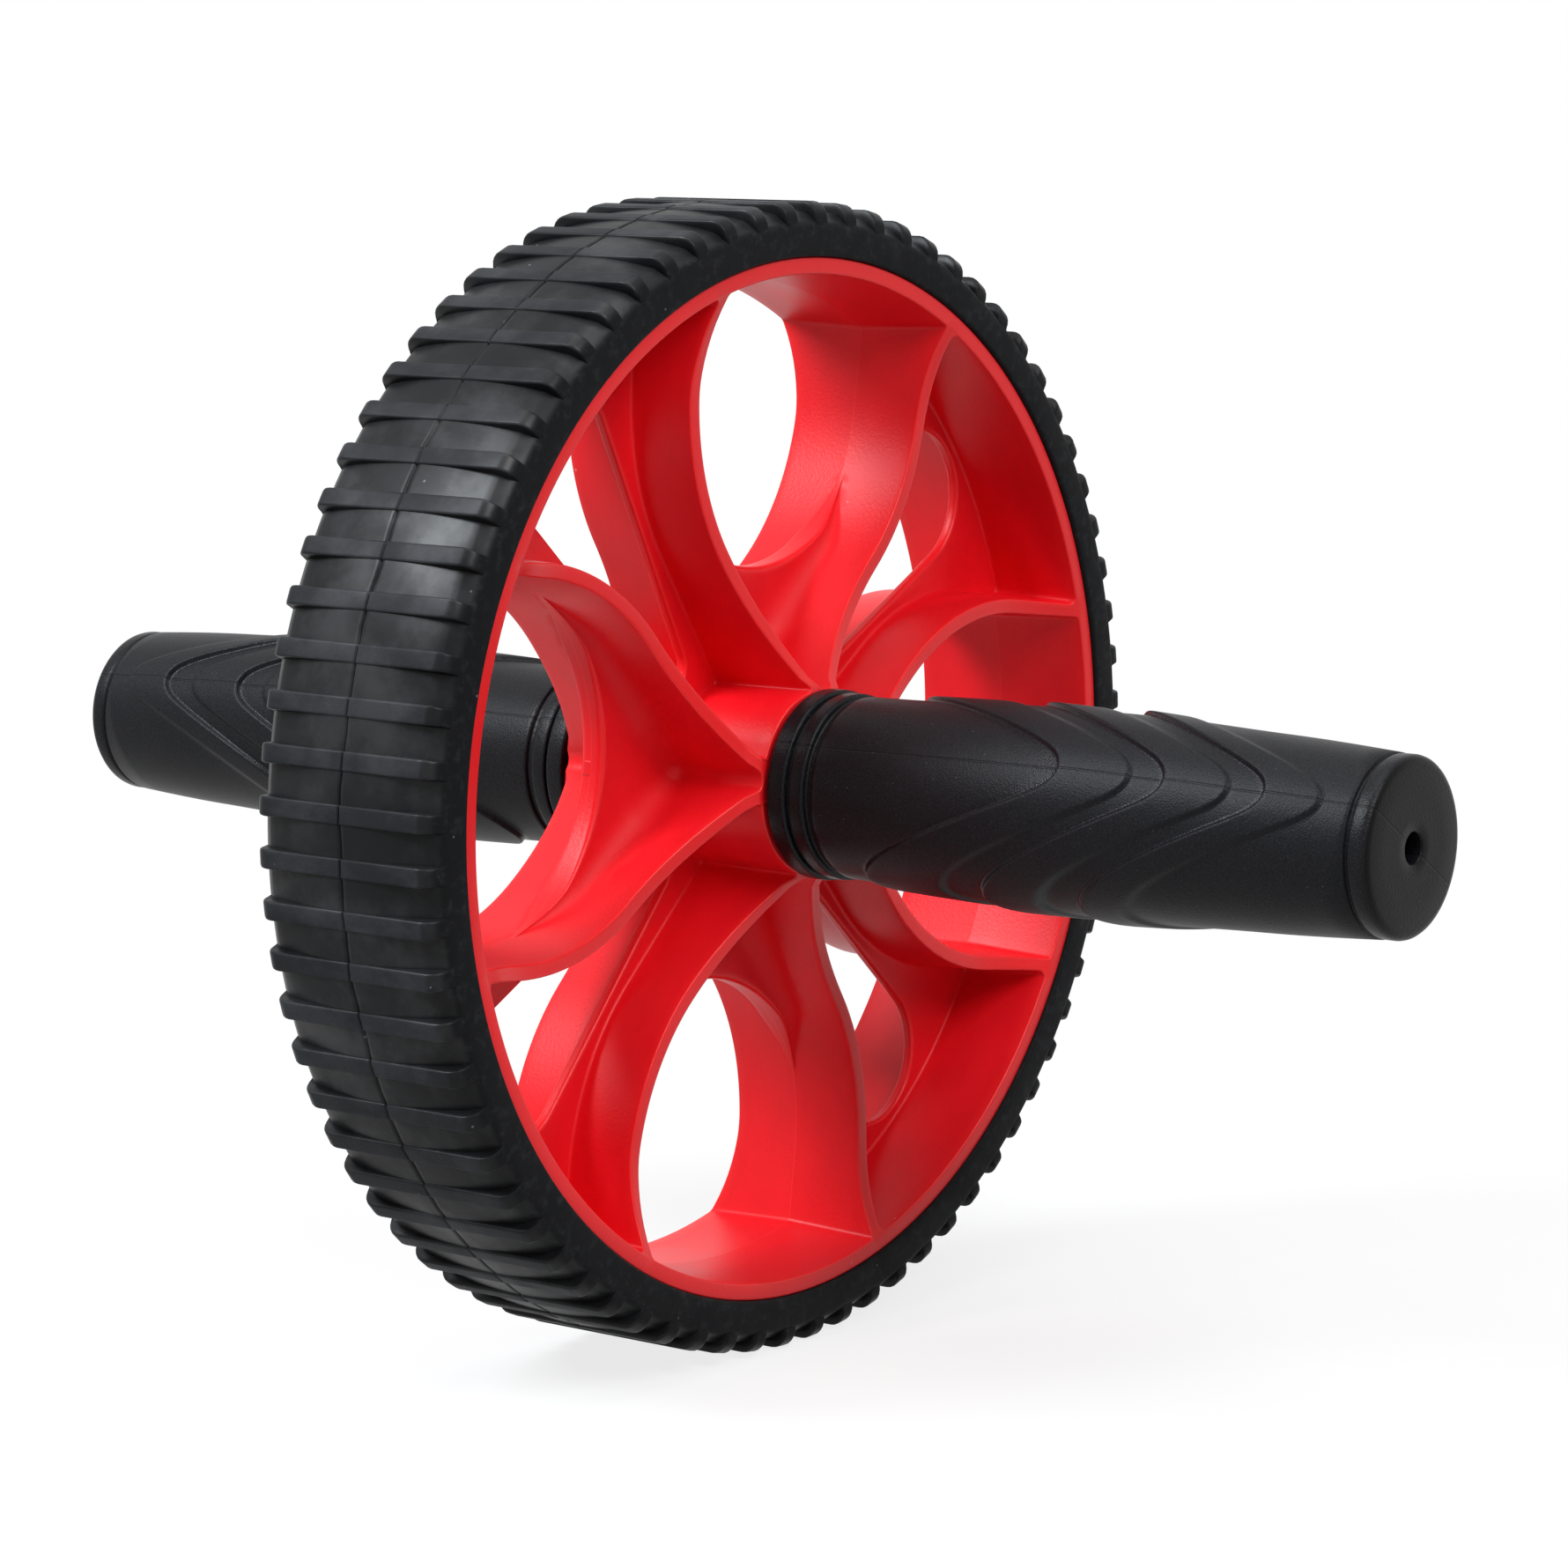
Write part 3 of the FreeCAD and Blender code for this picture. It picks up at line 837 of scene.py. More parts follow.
def gap_web(form, patches, wall_at):
    """Web between two petals, from the ribs to the slot, and the slot's own face."""
    size = form.size
    edge = slot_edge(form)
    rough = wall_at(size.gap_half + MATE_LEVEL)

    # Points of the wall, a little above the web, have mates on the slot's edge that are spread evenly
    nearest = np.array([np.abs(edge - p).argmin() for p in rough], dtype=float)
    nearest[0] = 0
    nearest[-1] = len(edge) - 1
    nearest = np.maximum.accumulate(nearest)
    for _ in range(EVENING_ROUNDS):
        nearest[1:-1] = 0.5 * nearest[1:-1] + 0.25 * (nearest[:-2] + nearest[2:])
    order = np.arange(len(edge))
    mate = np.interp(nearest, order, edge.real) + 1j * np.interp(nearest, order, edge.imag)

    # Section from the wall: a fillet, the web, a rounded lip and the slot's face
    gap = np.abs(mate - rough)
    fillet = np.minimum(size.gap_fillet, form.gap_fillet_most * gap)
    lip = np.minimum(size.slot_lip, form.slot_lip_most * gap)
    foot = size.gap_half + fillet
    wall = wall_at(foot)
    reach = np.abs(mate - wall)
    toward = (mate - wall) / reach
    angle = between(0.0, math.pi / 2, form.gap_round_steps)[:, None]
    brink = size.gap_half - lip
    away = np.concatenate([fillet * (1 - np.cos(angle)), [fillet + (reach - lip - fillet) * 0.5],
                           reach - lip + lip * np.sin(angle), [reach, reach]])
    level = np.concatenate([foot - fillet * np.sin(angle), [np.full(len(gap), size.gap_half)],
                            size.gap_half - lip * (1 - np.cos(angle)), [brink * 0.5, brink * 0.0]])
    marks = np.zeros(level.shape)

    # The lip's rows between its two ends are marked
    marks[-form.gap_round_steps - 2:-3] = LIP
    patches.grid(solid_points(wall + toward * away, level), marks)
    return foot


def headings(points):
    """Plan directions of points from the axle."""
    return np.exp(1j * np.arctan2(points[:, 2], points[:, 0]))


def rim_grid(form, patches, front):
    """Rim from its front edge round to the seat of the tyre."""
    bevel = form.rim_bevel
    angle = between(0.0, math.pi / 2, form.edge_steps)[:, None]
    radii = [rim_radius - bevel + bevel * np.sin(angle), np.full((len(form.seat_levels), 1), rim_radius)]
    levels = [rim_half_width - bevel * (1 - np.cos(angle)), form.seat_levels]
    rounded = solid_points(headings(front) * np.concatenate(radii), np.concatenate(levels))
    marks = (EDGE, LIP, EDGE, EDGE, EDGE, 0.0, 0.0, 0.0, 0.0)
    patches.grid(np.concatenate([front[None], rounded]), np.repeat(marks, len(front)))


def hub_grid(form, patches, brim):
    """Hub's end from the feet of the ribs to the bore, and the bore to the middle plane."""
    bore = form.size.hub_bore
    end = hub_half_length
    chamfer = form.hub_chamfer
    rings = [(radius, end) for radius in (*form.hub_rings, bore + chamfer)]
    rings += [(bore, level) for level in (end - chamfer, form.bore_middle, 0.0)]
    rows = [solid_points(headings(brim) * radius, level) for radius, level in rings]
    marks = (RIB_TOP, 0.0, 0.0, 0.0, 0.0, 0.0, 0.0)
    patches.grid(np.stack([brim] + rows), np.repeat(marks, len(brim)))


def wheel_core_mesh(size):
    """The moulded wheel: half a petal and half a gap, copied round the axle and past the middle plane."""
    form = WheelForm(size)
    patches = Patches()
    petal_out = form.outward(form.petal_high, -1, 1.0)
    gap_out = form.outward(form.gap_high, 1, np.exp(1j * form.QUARTER))
    petal_rise = (form.petal_high - form.petal_low) / form.DRAFT_TOP
    gap_rise = (form.gap_high - form.gap_low) / form.DRAFT_TOP
    first = form.arch_column

    # Petal's wall, open down to the middle plane as far as the arch, and down to the web beyond it
    middle_wall = form.petal_low + petal_rise * size.web_half
    grown = form.thickening(middle_wall, middle_wall[first])
    grown[:first] = 0.0
    fillets = form.web_fillets(middle_wall) * grown
    foot = size.web_end + (size.web_half - size.web_end) * grown + fillets
    lows = THIRDS[:-1]
    petal = wall_columns(form, form.petal_low, form.petal_high, petal_out, foot, form.petal_wall_steps, lows)
    hole = [part[:, :first + 1] for part in petal]
    closed = [part[len(lows):, first:] for part in petal]
    for plan, level, marks in (hole, closed):
        patches.grid(solid_points(plan, level), marks)
    petal_web(form, patches, form.petal_low + petal_rise * foot, petal_rise, -petal_out, fillets, foot)

    # Wall between the petals, and its web
    gap_foot = gap_web(form, patches, lambda level: form.gap_low + gap_rise * level)
    gap = wall_columns(form, form.gap_low, form.gap_high, gap_out, gap_foot, form.gap_wall_steps)
    patches.grid(solid_points(gap[0], gap[1]), gap[2])

    # Front edges of the ribs
    petal_top = solid_points(petal[0][-1], petal[1][-1])
    gap_top = solid_points(gap[0][-1], gap[1][-1])
    rib_steps = form.corner_steps + form.straight_steps + sum(form.bend_steps) + form.run_steps
    petal_end = form.rim_steps + rib_steps
    gap_end = form.gap_rim_steps + rib_steps
    inner = petal_top[form.rim_steps:petal_end + 1]
    outer = gap_top[form.gap_rim_steps:gap_end + 1]
    rib_top = inner + (outer - inner) * THIRDS[:, None, None]
    patches.grid(rib_top, np.repeat((EDGE, RIB_TOP, RIB_TOP, EDGE), len(inner)))

    # Rim and hub take up the front edges from the petal's middle to the gap's
    rim_grid(form, patches, np.concatenate([petal_top[:form.rim_steps + 1], rib_top[1:-1, 0],
                                            gap_top[form.gap_rim_steps::-1]]))
    hub_grid(form, patches, np.concatenate([gap_top[:gap_end - 1:-1], rib_top[-2:0:-1, -1],
                                            petal_top[petal_end:]]))
    copies = [petal_copy(size.petal_phase + k * math.pi / 2, across, along)
              for k in range(4) for across in (1, -1) for along in (1, -1)]
    return patches.mesh("wheel_core_moulding", "edge", copies)


def petal_copy(angle, across, along):
    """Copy of a half petal's points, mirrored across its centre line and the middle plane, and turned."""
    def copied(points):
        plan = (points[:, 0] + 1j * across * points[:, 2]) * np.exp(1j * angle)
        return np.stack([plan.real, along * points[:, 1], plan.imag], axis=1)
    return copied


# Tyre

CROWN_TOP = 99.72
CROWN_FALL = 1.72
CROWN_HALF = 16.4
CROWN_POWER = 2.3
CROWN_STATIONS = (CROWN_HALF, 15.0, 13.3, 11.0, 8.7, 6.5, 4.5, 2.5, 1.0, 0.42)

# Rest of the band: rise and inset at the heel, radius and inset at the shoulder, the drop and place of the
# crown's brink, and depth and place of the mould line
HEEL = ((0.0, 0.55), (0.1, 0.24), (0.28, 0.06), (0.6, 0.0))
SHOULDER = ((93.0, 0.0), (95.1, 0.03), (95.7, 0.12), (96.1, 0.28), (96.4, 0.55))
CROWN_BRINK = (0.22, 16.85)
MOULD_LINE = ((0.12, 0.24), (0.5, 0.1), (0.55, 0.0))
SEAT_GAP = 0.02
BAND_SEGMENTS = 288

# Lug: stations of the top from the notch of the mould line, with their drop, and its rounded long edge
LUG_TOP = ((0.0, 0.5), (0.12, 0.42), (0.26, 0.05), (0.45, 0.0), (5.0, 0.0), (10.0, 0.0))
LUG_EDGE = ((0.0, -0.5), (0.02, -0.3), (0.12, -0.08), (0.32, 0.0), (0.6, 0.03))
LUG_END_STEPS = 6
LUG_END_DROP = 3.5
LUG_END_TAPER = 0.28
LUG_ROOT = 95.6
LUG_ROOT_SPREAD = 0.25

# Wander of the mould line: height of each wave, its count round the tyre and its start
WANDER = ((0.16, 23, 0.0), (0.12, 41, 1.3), (0.08, 97, 0.4))
WANDER_REACH = 3.0
WANDER_LEAST_RADIUS = 98.0


def crown_radius(along):
    """Radius of the band between the lugs, which falls away from the middle."""
    return CROWN_TOP - CROWN_FALL * (along / CROWN_HALF) ** CROWN_POWER


def band_mesh(size):
    """The tyre's band, turned from half a section: seat, heel, side wall, shoulder, crown and mould line."""
    seat = rim_radius + SEAT_GAP
    half = size.half_width
    heel = [(half - inset, seat + rise) for rise, inset in HEEL]
    shoulder = [(half - inset, radius) for radius, inset in SHOULDER]
    brink = (CROWN_BRINK[1], crown_radius(CROWN_HALF) - CROWN_BRINK[0])
    crown = [(y, crown_radius(y)) for y in CROWN_STATIONS]
    mould_line = [(y, crown_radius(0.0) - depth) for depth, y in MOULD_LINE]
    section = [(0.0, seat), *heel, *shoulder, brink, *crown, *mould_line]
    section += [(-y, radius) for y, radius in reversed(section[:-1])]
    column = [(y, radius, 0.0) for y, radius in section]
    return revolved("tyre_band", "edge", BAND_SEGMENTS, lambda angle: column)


def lug_mesh(size):
    """One lug standing along +X: a bar with rounded edges and ends that run out at the shoulders."""
    half = size.lug_width / 2
    span = size.lug_end - size.lug_flat
    stations = [*LUG_TOP, (size.lug_flat, 0.0)]
    for lean in between(0.0, math.pi / 2, LUG_END_STEPS)[1:]:
        stations.append((size.lug_flat + span * math.sin(lean), LUG_END_DROP * (1 - math.cos(lean))))
    stations = [(-y, drop) for y, drop in reversed(stations[1:])] + stations
    points = []
    for y, drop in stations:
        top = tread_radius - drop
        wide = half - LUG_END_TAPER * max(0.0, (abs(y) - size.lug_flat) / span) ** 2
        side = [(top - fall, wide + out) for fall, out in LUG_EDGE] + [(LUG_ROOT, wide + LUG_ROOT_SPREAD)]
        points.append([(r, y, -w) for r, w in reversed(side)] + [(r, y, w) for r, w in side])
    points = np.array(points)
    rows, columns = points.shape[:2]
    index = np.arange(rows * columns).reshape(rows, columns).tolist()
    faces = [index[0][::-1], index[-1]]
    for here, after in zip(index[:-1], index[1:]):
        faces += [(here[c], here[c + 1], after[c + 1], after[c]) for c in range(columns - 1)]
        faces.append((here[0], after[0], after[-1], here[-1]))
    shape = bpy.data.meshes.new("lug_shape")
    shape.from_pydata((points.reshape(-1, 3) * MM).tolist(), [], faces)
    work = bmesh.new()
    work.from_mesh(shape)
    bmesh.ops.recalc_face_normals(work, faces=work.faces)
    work.to_mesh(shape)
    work.free()
    return smooth_shaded(shape)


def lug_tree(material):
    """Node tree that stands a lug round the axle a given number of times."""
    tree = bpy.data.node_groups.new("lugs_round_axle", "GeometryNodeTree")
    kinds = {"Lug": "NodeSocketObject", "Count": "NodeSocketInt", "First angle": "NodeSocketFloat"}
    sockets = {}
    for name, kind in kinds.items():
        sockets[name] = tree.interface.new_socket(name, in_out="INPUT", socket_type=kind).identifier
    tree.interface.new_socket("Geometry", in_out="OUTPUT", socket_type="NodeSocketGeometry")
    net = Net(tree)
    given = net.node("NodeGroupInput").outputs
    lug, count, first = [Wire(net, given[name]) for name in kinds]
    angle = net.pick("GeometryNodeInputIndex").math("MULTIPLY_ADD", 2 * math.pi / count, first)
    rotation = net.pick("ShaderNodeCombineXYZ", {"Y": angle * -1.0})
    line = net.pick("GeometryNodeMeshLine", {"Count": count, "Offset": (0.0, 0.0, 0.0)})
    points = net.pick("GeometryNodeMeshToPoints", {"Mesh": line})
    shape = net.pick("GeometryNodeObjectInfo", {"Object": lug}, output="Geometry")
    on_points = {"Points": points, "Instance": shape, "Rotation": rotation}
    spread = net.pick("GeometryNodeInstanceOnPoints", on_points)
    real = net.pick("GeometryNodeRealizeInstances", {"Geometry": spread})
    dressed = net.pick("GeometryNodeSetMaterial", {"Geometry": real, "Material": material})
    net.node("NodeGroupOutput", {0: dressed})
    return tree, sockets


def lugs_mesh(size, material):
    """All the lugs as one plain mesh."""
    lug = bpy.data.objects.new("lug_shape", lug_mesh(size))
    holder = bpy.data.objects.new("lug_holder", bpy.data.meshes.new("lug_holder"))
    for placed in (lug, holder):
        bpy.context.scene.collection.objects.link(placed)
    nodes = holder.modifiers.new("lugs", "NODES")
    nodes.node_group, sockets = lug_tree(material)
    for name, value in (("Lug", lug), ("Count", size.lug_count), ("First angle", size.lug_phase)):
        nodes[sockets[name]] = value
    graph = bpy.context.evaluated_depsgraph_get()
    made = bpy.data.meshes.new_from_object(holder.evaluated_get(graph), depsgraph=graph)
    holder.modifiers.clear()
    for done in (holder, lug):
        bpy.data.objects.remove(done)
    return made


def joined(name, *meshes):
    """Several meshes as one."""
    work = bmesh.new()
    for mesh in meshes:
        work.from_mesh(mesh)
    whole = bpy.data.meshes.new(name)
    work.to_mesh(whole)
    work.free()
    return smooth_shaded(whole)


def waver(shell):
    """Lets the mould line at the middle of the tread wander a little."""
    points = np.zeros(len(shell.vertices) * 3)
    shell.vertices.foreach_get("co", points)
    points = points.reshape(-1, 3)
    angle = np.arctan2(points[:, 2], points[:, 0])
    radius = np.hypot(points[:, 0], points[:, 2]) / MM
    near = np.clip(1 - np.abs(points[:, 1] / MM) / WANDER_REACH, 0.0, 1.0) * (radius > WANDER_LEAST_RADIUS)
    wander = sum(height * np.sin(waves * angle + start) for height, waves, start in WANDER)
    points[:, 1] += near * wander * MM
    shell.vertices.foreach_set("co", points.ravel())


# Grips


class GripForm:
    """Outline and waved bands of one grip, as distances along the axle and radii."""

    columns = 240
    mean_radius = 16.5

    # Outline: the flange with its ring and neck, the barrel, and the ring at the end
    flange = [(0.0, 16.05), (0.1, 16.33), (0.3, 16.46), (0.6, 16.5), (3.0, 16.5), (3.3, 16.46), (3.48, 16.33),
              (3.58, 16.1), (3.62, 15.75), (3.68, 15.45), (3.85, 15.3), (4.1, 15.3), (4.26, 15.42),
              (4.32, 15.7), (4.38, 15.93), (4.55, 16.06), (4.8, 16.1), (6.65, 16.1), (6.95, 16.06),
              (7.13, 15.95), (7.23, 15.75), (7.28, 15.4), (7.34, 15.15), (7.5, 15.03), (8.55, 15.03),
              (8.72, 15.14), (8.78, 15.4), (8.86, 15.6), (9.05, 15.7), (9.4, 15.74)]
    barrel = [(32.6, 15.75), (41.0, 15.9), (52.0, 16.4), (65.0, 16.9), (78.0, 17.05), (95.0, 16.95),
              (110.0, 16.35), (120.0, 16.0), (130.0, 15.45), (135.2, 15.1)]
    tail = [(135.3, 14.9), (135.42, 14.55), (135.62, 14.4), (135.82, 14.5), (135.95, 14.75), (136.15, 14.92),
            (136.5, 14.98), (138.2, 14.98), (138.7, 14.85), (139.1, 14.55), (139.35, 14.1), (139.5, 13.4)]

    # Lines of the bands: distances at the tip and at the root, and the wave between the two
    lines = [(81.0, 38.8), (94.8, 55.0), (101.3, 63.3), (113.2, 75.0), (119.9, 83.0), (130.0, 92.0)]
    line_steps = (10, 12, 6, 12, 6, 12)
    last_steps = 8
    wave = [(-0.1, 0.035), (-0.05, 0.008), (0.0, 0.0), (0.05, 0.008), (0.1, 0.035), (0.15, 0.085),
            (0.2, 0.155), (0.3, 0.31), (0.4, 0.465), (0.5, 0.61), (0.6, 0.74), (0.7, 0.85), (0.8, 0.93),
            (0.9, 0.98), (1.0, 1.0), (1.1, 0.98)]
    wave_samples = 600
    slope_step = 0.01

    # Section of a band: a crisp step up and a softer fall, as offsets across and shares of the height
    rises = np.array([-0.55, -0.34, -0.17, 0.0, 0.17, 0.34, 0.55])
    falls = np.array([-1.4, -1.0, -0.5, 0.0, 0.5, 1.0, 1.4])
    shares = np.array([0.0, 0.03, 0.16, 0.52, 0.86, 0.98, 1.0])
    soft_least = 0.42
    soft_growth = 0.95

    # Gloss of the flange, the step's foot, the tail, the neck and end face, and the falls
    flange_gloss = 0.7
    foot_gloss = 0.8
    foot_share = 0.6
    tail_gloss = 0.5
    plain_gloss = 0.3
    fall_gloss = 0.2

    # Ends and inside: the face by the wheel, the end wall, the vent's edge as depths and widenings, and the
    # middle of the space for the core
    inner_face = 14.4
    end_wall = 3.48
    end_rings = (9.0, 5.0)
    vent_edge = ((0.0, 0.35), (0.15, 0.08), (0.5, 0.0))
    wall_ring = 7.0
    space_middle = 80.0

    def __init__(self, size):
        self.size = size
        self.wave_curve = smooth_steps(np.array(self.wave), self.wave_samples)
        self.barrel_curve = smooth_steps(np.array(self.barrel))

    def apart(self, angle):
        """Share of the way round from a wave's tip, at 0, to its root, at 1."""
        turned = (angle - self.size.tip_angle + math.pi / 2) % math.pi - math.pi / 2
        return abs(turned) / (math.pi / 2)

    def line(self, tip, inner, angle):
        """Distance along the axle of a wave line at an angle, and how much its slope stretches a section."""
        def at(turned):
            return tip - (tip - inner) * np.interp(self.apart(turned), *self.wave_curve)
        step = self.slope_step
        slope = (at(angle + step) - at(angle - step)) / (2 * step) / self.mean_radius
        return at(angle), np.sqrt(1 + slope ** 2)

    def radius(self, distance):
        return np.interp(distance, *self.barrel_curve)

    def stations(self, angle):
        """Distances, band heights and gloss from the neck to the tail, at one angle."""
        step, tail = self.size.band_height, self.size.band_tail
        soft = self.soft_least + self.soft_growth * self.apart(angle) ** 2
        out = []
        here = self.barrel[0][0]
        for k, (tip, inner) in enumerate(self.lines):
            at, stretch = self.line(tip, inner, angle)
            crisp = k % 2 == 0
            offsets = self.rises if crisp else soft * self.falls
            heights = self.shares * step if crisp else (1 - self.shares) * tail
            start = at + offsets[0] * stretch
            for along in between(0.0, 1.0, self.line_steps[k])[1:-1]:
                height = 0.0 if crisp else step + (tail - step) * along
                out.append((here + (start - here) * along, height, 0.0))
            for offset, height in zip(offsets, heights):
                foot = crisp and height < self.foot_share * step
                out.append((at + offset * stretch, height, self.foot_gloss if foot else self.fall_gloss))
            here = at + offsets[-1] * stretch
        end = self.barrel[-1][0]
        out += [(here + (end - here) * along, 0.0, 0.0) for along in between(0.0, 1.0, self.last_steps)[1:]]
        return out

    def closing(self):
        """Distances, radii and gloss from the end face through the vent to the space for the core."""
        end = self.tail[-1][0]
        wall = handle_end - self.end_wall
        vent = self.size.vent_radius
        inside = self.size.bore_radius
        shown = [(end, radius) for radius in self.end_rings]
        shown += [(end - depth, vent + wider) for depth, wider in self.vent_edge] + [(wall, vent)]
        hidden = [(wall, self.wall_ring), (wall, inside), (self.space_middle, inside), (handle_start, inside)]
        return [(a, r, self.plain_gloss) for a, r in shown] + [(a, r, 0.0) for a, r in hidden]


def smooth_steps(known, count=120):
    """Smooth curve through known points, as many straight steps."""
    x, y = known.T
    slope = np.gradient(y, x)
    at = np.linspace(x[0], x[-1], count)
    k = np.clip(np.searchsorted(x, at) - 1, 0, len(x) - 2)
    run = x[k + 1] - x[k]
    s = (at - x[k]) / run
    value = ((2 * s ** 3 - 3 * s ** 2 + 1) * y[k] + (s ** 3 - 2 * s ** 2 + s) * run * slope[k]
             + (3 * s ** 2 - 2 * s ** 3) * y[k + 1] + (s ** 3 - s ** 2) * run * slope[k + 1])
    return at, value


def grip_mesh(size, name, side):
    """A closed grip: outer surface, end face with its vent, and the space for the core."""
    form = GripForm(size)
    start = [(handle_start, size.bore_radius, 0.0), (handle_start, form.inner_face, 0.0)]
    start += [(handle_start + along, radius, form.flange_gloss) for along, radius in form.flange]
    start.append((*form.barrel[0], form.plain_gloss))
    end = [(along, radius, form.tail_gloss) for along, radius in form.tail] + form.closing()

    def column(angle):
        waved = [(along, form.radius(along) + height, gloss) for along, height, gloss in form.stations(angle)]
        return [(side * along, radius, gloss) for along, radius, gloss in start + waved + end]
    return revolved(name, "gloss", form.columns, column)


# Operators


class ROLLER_OT_wheel_core(bpy.types.Operator):
    """Make the moulded red wheel with its petals, ribs, web and hub"""
    bl_idname = "roller.wheel_core"
    bl_label = "Moulded wheel"

    def execute(self, context):
        scene = context.scene
        size = in_millimetres(scene.roller_wheel)
        plastic = red_plastic(scene.roller_finish, size)
        show(wheel_core_mesh(size), plastic, "wheel", "red_plastic", "wheel_core")
        return {"FINISHED"}


class ROLLER_OT_tyre(bpy.types.Operator):
    """Make the rubber tyre: its crowned band and its lugs"""
    bl_idname = "roller.tyre"
    bl_label = "Lugged tyre"

    def execute(self, context):
        scene = context.scene
        size = in_millimetres(scene.roller_tyre)
        rubber = tyre_rubber(scene.roller_finish)
        shell = joined("tyre_tread", band_mesh(size), lugs_mesh(size, rubber))
        waver(shell)
        show(shell, rubber, "wheel", "tyre_rubber", "tyre")
        return {"FINISHED"}


class ROLLER_OT_grips(bpy.types.Operator):
    """Make the two soft grips with their waved bands"""
    bl_idname = "roller.grips"
    bl_label = "Grips"

    def execute(self, context):
        scene = context.scene
        size = in_millimetres(scene.roller_grip)
        rubber = grip_rubber(scene.roller_finish, size.tip_angle)
        for end, side in (("left", 1), ("right", -1)):
            shell = grip_mesh(size, "grip_sleeve_" + end, side)
            show(shell, rubber, "handle_bar", "grip_rubber", "grip_" + end)
        return {"FINISHED"}


class ROLLER_OT_axle(bpy.types.Operator):
    """Give the axle, washers, bushes and handle cores their finish"""
    bl_idname = "roller.axle"
    bl_label = "Axle and bushes"

    def execute(self, context):
        finish = context.scene.roller_finish
        steel = turned_steel(finish)
        pairs = {"thrust_washer_": steel, "hub_bush_": bush_nylon(finish),
                 "handle_core_": core_plastic(finish)}
        dressed = {name + end: material for name, material in pairs.items() for end in ("left", "right")}
        dressed["axle_bar"] = steel
        for name, material in dressed.items():
            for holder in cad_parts[name].material_slots:
                holder.material = material
        return {"FINISHED"}


class ROLLER_OT_stage(bpy.types.Operator):
    """Set up the white floor, the soft lights and the camera"""
    bl_idname = "roller.stage"
    bl_label = "Studio"

    def execute(self, context):
        scene = context.scene
        studio = scene.roller_studio
        scene.view_settings.view_transform = "Standard"
        make_floor(scene)
        make_world(scene, studio.ambient)
        make_lights(scene)
        make_camera(scene, studio)
        return {"FINISHED"}


WHITE = (1.0, 1.0, 1.0, 1.0)

# Floor: half its width, its gap below the part in metres, and how bright it is
FLOOR_HALF = 6.0
FLOOR_GAP = 0.2 * MM
FLOOR_BOUNCE = (0.36, 0.36, 0.36)
PAPER = ((0.93, 0.93, 0.93), (0.97, 0.97, 0.97))
SHADOW_EDGE = (0.07, 0.32)
SHADOW_LIFT = 0.80

# Lamps: name, place in metres, width, power in watts and colour. All face the part
LAMPS = (("above", (-0.15, -0.05, 1.30), 0.9, 7.6, (1.0, 1.0, 1.0)),
         ("left", (-0.76, 0.50, 0.86), 0.5, 18.0, (0.90, 0.95, 1.0)),
         ("front", (-0.35, -1.00, 0.95), 0.7, 12.3, (1.0, 1.0, 1.0)))


def backdrop_rays(net):
    """1 for rays that see the backdrop: from the camera, off gloss and through glass."""
    path = net.node("ShaderNodeLightPath")
    camera, gloss, glass = [Wire(net, path.outputs[f"Is {kind} Ray"])
                            for kind in ("Camera", "Glossy", "Transmission")]
    return camera.math("MAXIMUM", gloss).math("MAXIMUM", glass)


def make_floor(scene):
    """White paper that is lifted to plain white away from the part's shadow."""
    level = cad_box[0][2] - FLOOR_GAP
    shell = bpy.data.meshes.new("floor")
    corners = [(x * FLOOR_HALF, y * FLOOR_HALF, level) for x, y in ((-1, -1), (1, -1), (1, 1), (-1, 1))]
    shell.from_pydata(corners, [], [(0, 1, 2, 3)])
    floor = bpy.data.objects.new("floor", shell)
    scene.collection.objects.link(floor)
    net = material_net("studio_floor")
    place = net.place()
    x, y, z = net.axes(place)
    seen = backdrop_rays(net)
    paper = net.mix(net.noise(place, scale=220.0, detail=2.0), *PAPER)
    matte = net.pick("ShaderNodeBsdfDiffuse", {"Color": net.mix(seen, FLOOR_BOUNCE, paper)})
    glow = net.pick("ShaderNodeEmission", {"Color": WHITE, "Strength": 1.0})
    away = ((x * x + y * y) ** 0.5).step(*SHADOW_EDGE)
    lift = seen * (SHADOW_LIFT + away * (1.0 - SHADOW_LIFT))
    net.finish(net.pick("ShaderNodeMixShader", {0: lift, 1: matte, 2: glow}))
    shell.materials.append(net.owner)


def make_world(scene, strength):
    """Even light all round, and a white backdrop for the rays that see it."""
    scene.world = bpy.data.worlds.new("studio_world")
    net = node_net(scene.world)
    level = strength + backdrop_rays(net) * (1.0 - strength)
    light = net.pick("ShaderNodeBackground", {"Color": WHITE, "Strength": level})
    net.node("ShaderNodeOutputWorld", {"Surface": light})


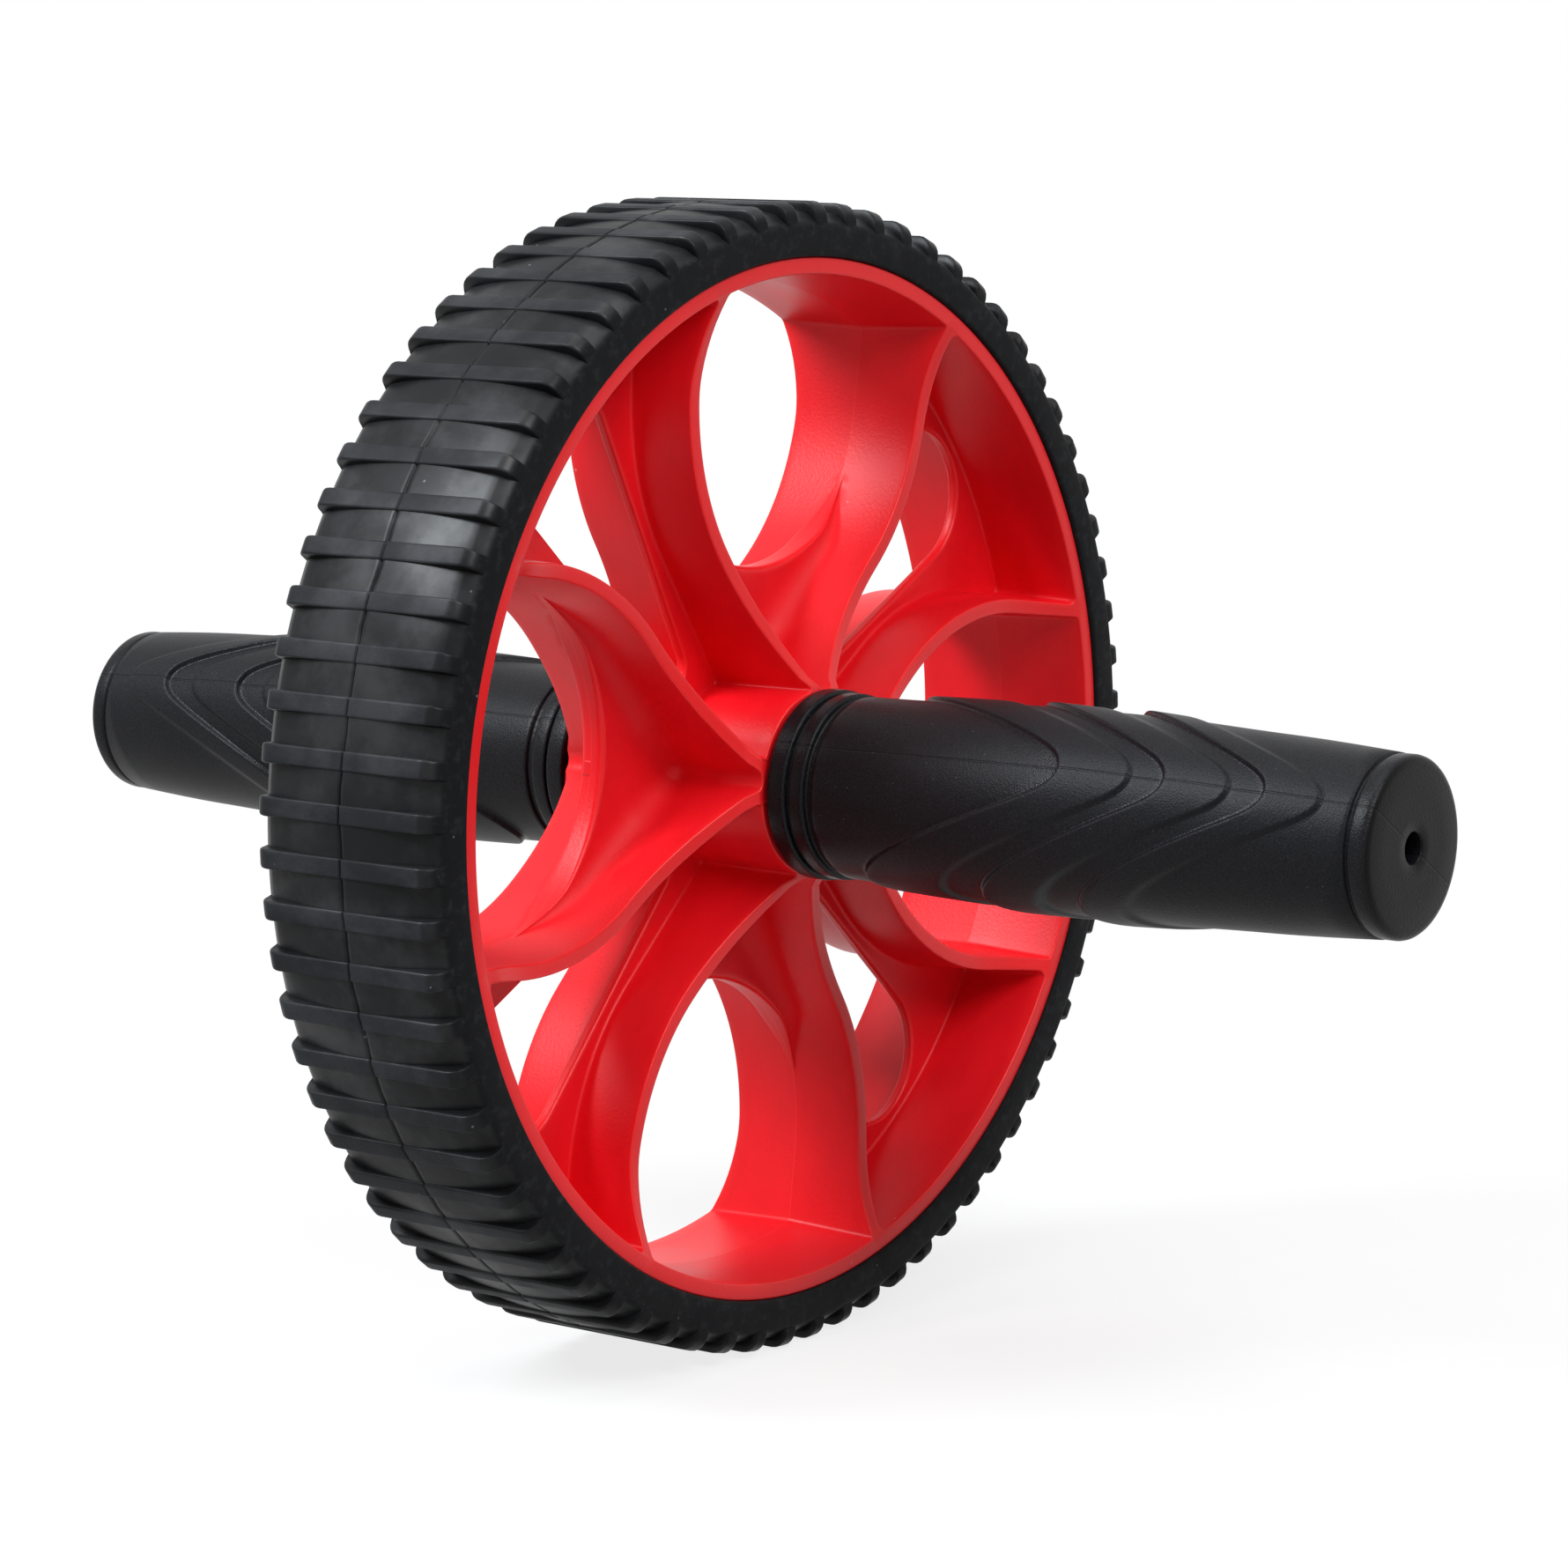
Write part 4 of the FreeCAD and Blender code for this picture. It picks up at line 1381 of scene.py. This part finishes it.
def set_up(scene, data, place):
    """Adds a lamp or a camera that looks from a place at the middle of the part."""
    made = bpy.data.objects.new(data.name, data)
    made.location = place
    made.rotation_euler = (-Vector(place)).to_track_quat("-Z", "Y").to_euler()
    scene.collection.objects.link(made)
    return made


def make_lights(scene):
    for name, place, width, power, tint in LAMPS:
        data = bpy.data.lights.new(name, "AREA")
        data.shape = "SQUARE"
        data.size = width
        data.energy = power
        data.color = tint
        set_up(scene, data, place)


def make_camera(scene, studio):
    data = bpy.data.cameras.new("camera")
    data.lens = studio.lens
    data.sensor_width = studio.sensor
    data.shift_x = studio.shift_x
    data.shift_y = studio.shift_y
    flat = math.cos(studio.elevation)
    back = Vector((math.sin(studio.azimuth) * flat, -math.cos(studio.azimuth) * flat,
                   math.sin(studio.elevation)))
    scene.camera = set_up(scene, data, back * studio.distance)


class ROLLER_PT_panel(bpy.types.Panel):
    """Lists the pieces of the roller"""
    bl_idname = "ROLLER_PT_panel"
    bl_label = "Ab wheel roller"
    bl_space_type = "VIEW_3D"
    bl_region_type = "UI"
    bl_category = "Roller"

    def draw(self, context):
        for made in MAKERS:
            self.layout.operator(made.bl_idname)


GROUPS = {"roller_wheel": WheelSizes, "roller_tyre": TyreSizes, "roller_grip": GripSizes,
          "roller_finish": Finishes, "roller_studio": StudioSettings}
MAKERS = (ROLLER_OT_wheel_core, ROLLER_OT_tyre, ROLLER_OT_grips, ROLLER_OT_axle, ROLLER_OT_stage)
CLASSES = (*GROUPS.values(), *MAKERS, ROLLER_PT_panel)


def register():
    for made in CLASSES:
        bpy.utils.register_class(made)
    for name, group in GROUPS.items():
        setattr(bpy.types.Scene, name, PointerProperty(type=group))


def unregister():
    for name in GROUPS:
        delattr(bpy.types.Scene, name)
    for made in reversed(CLASSES):
        bpy.utils.unregister_class(made)


def main():
    register()
    bpy.ops.roller.wheel_core()
    bpy.ops.roller.tyre()
    bpy.ops.roller.grips()
    bpy.ops.roller.axle()
    bpy.ops.roller.stage()


if __name__ == "__main__":
    main()
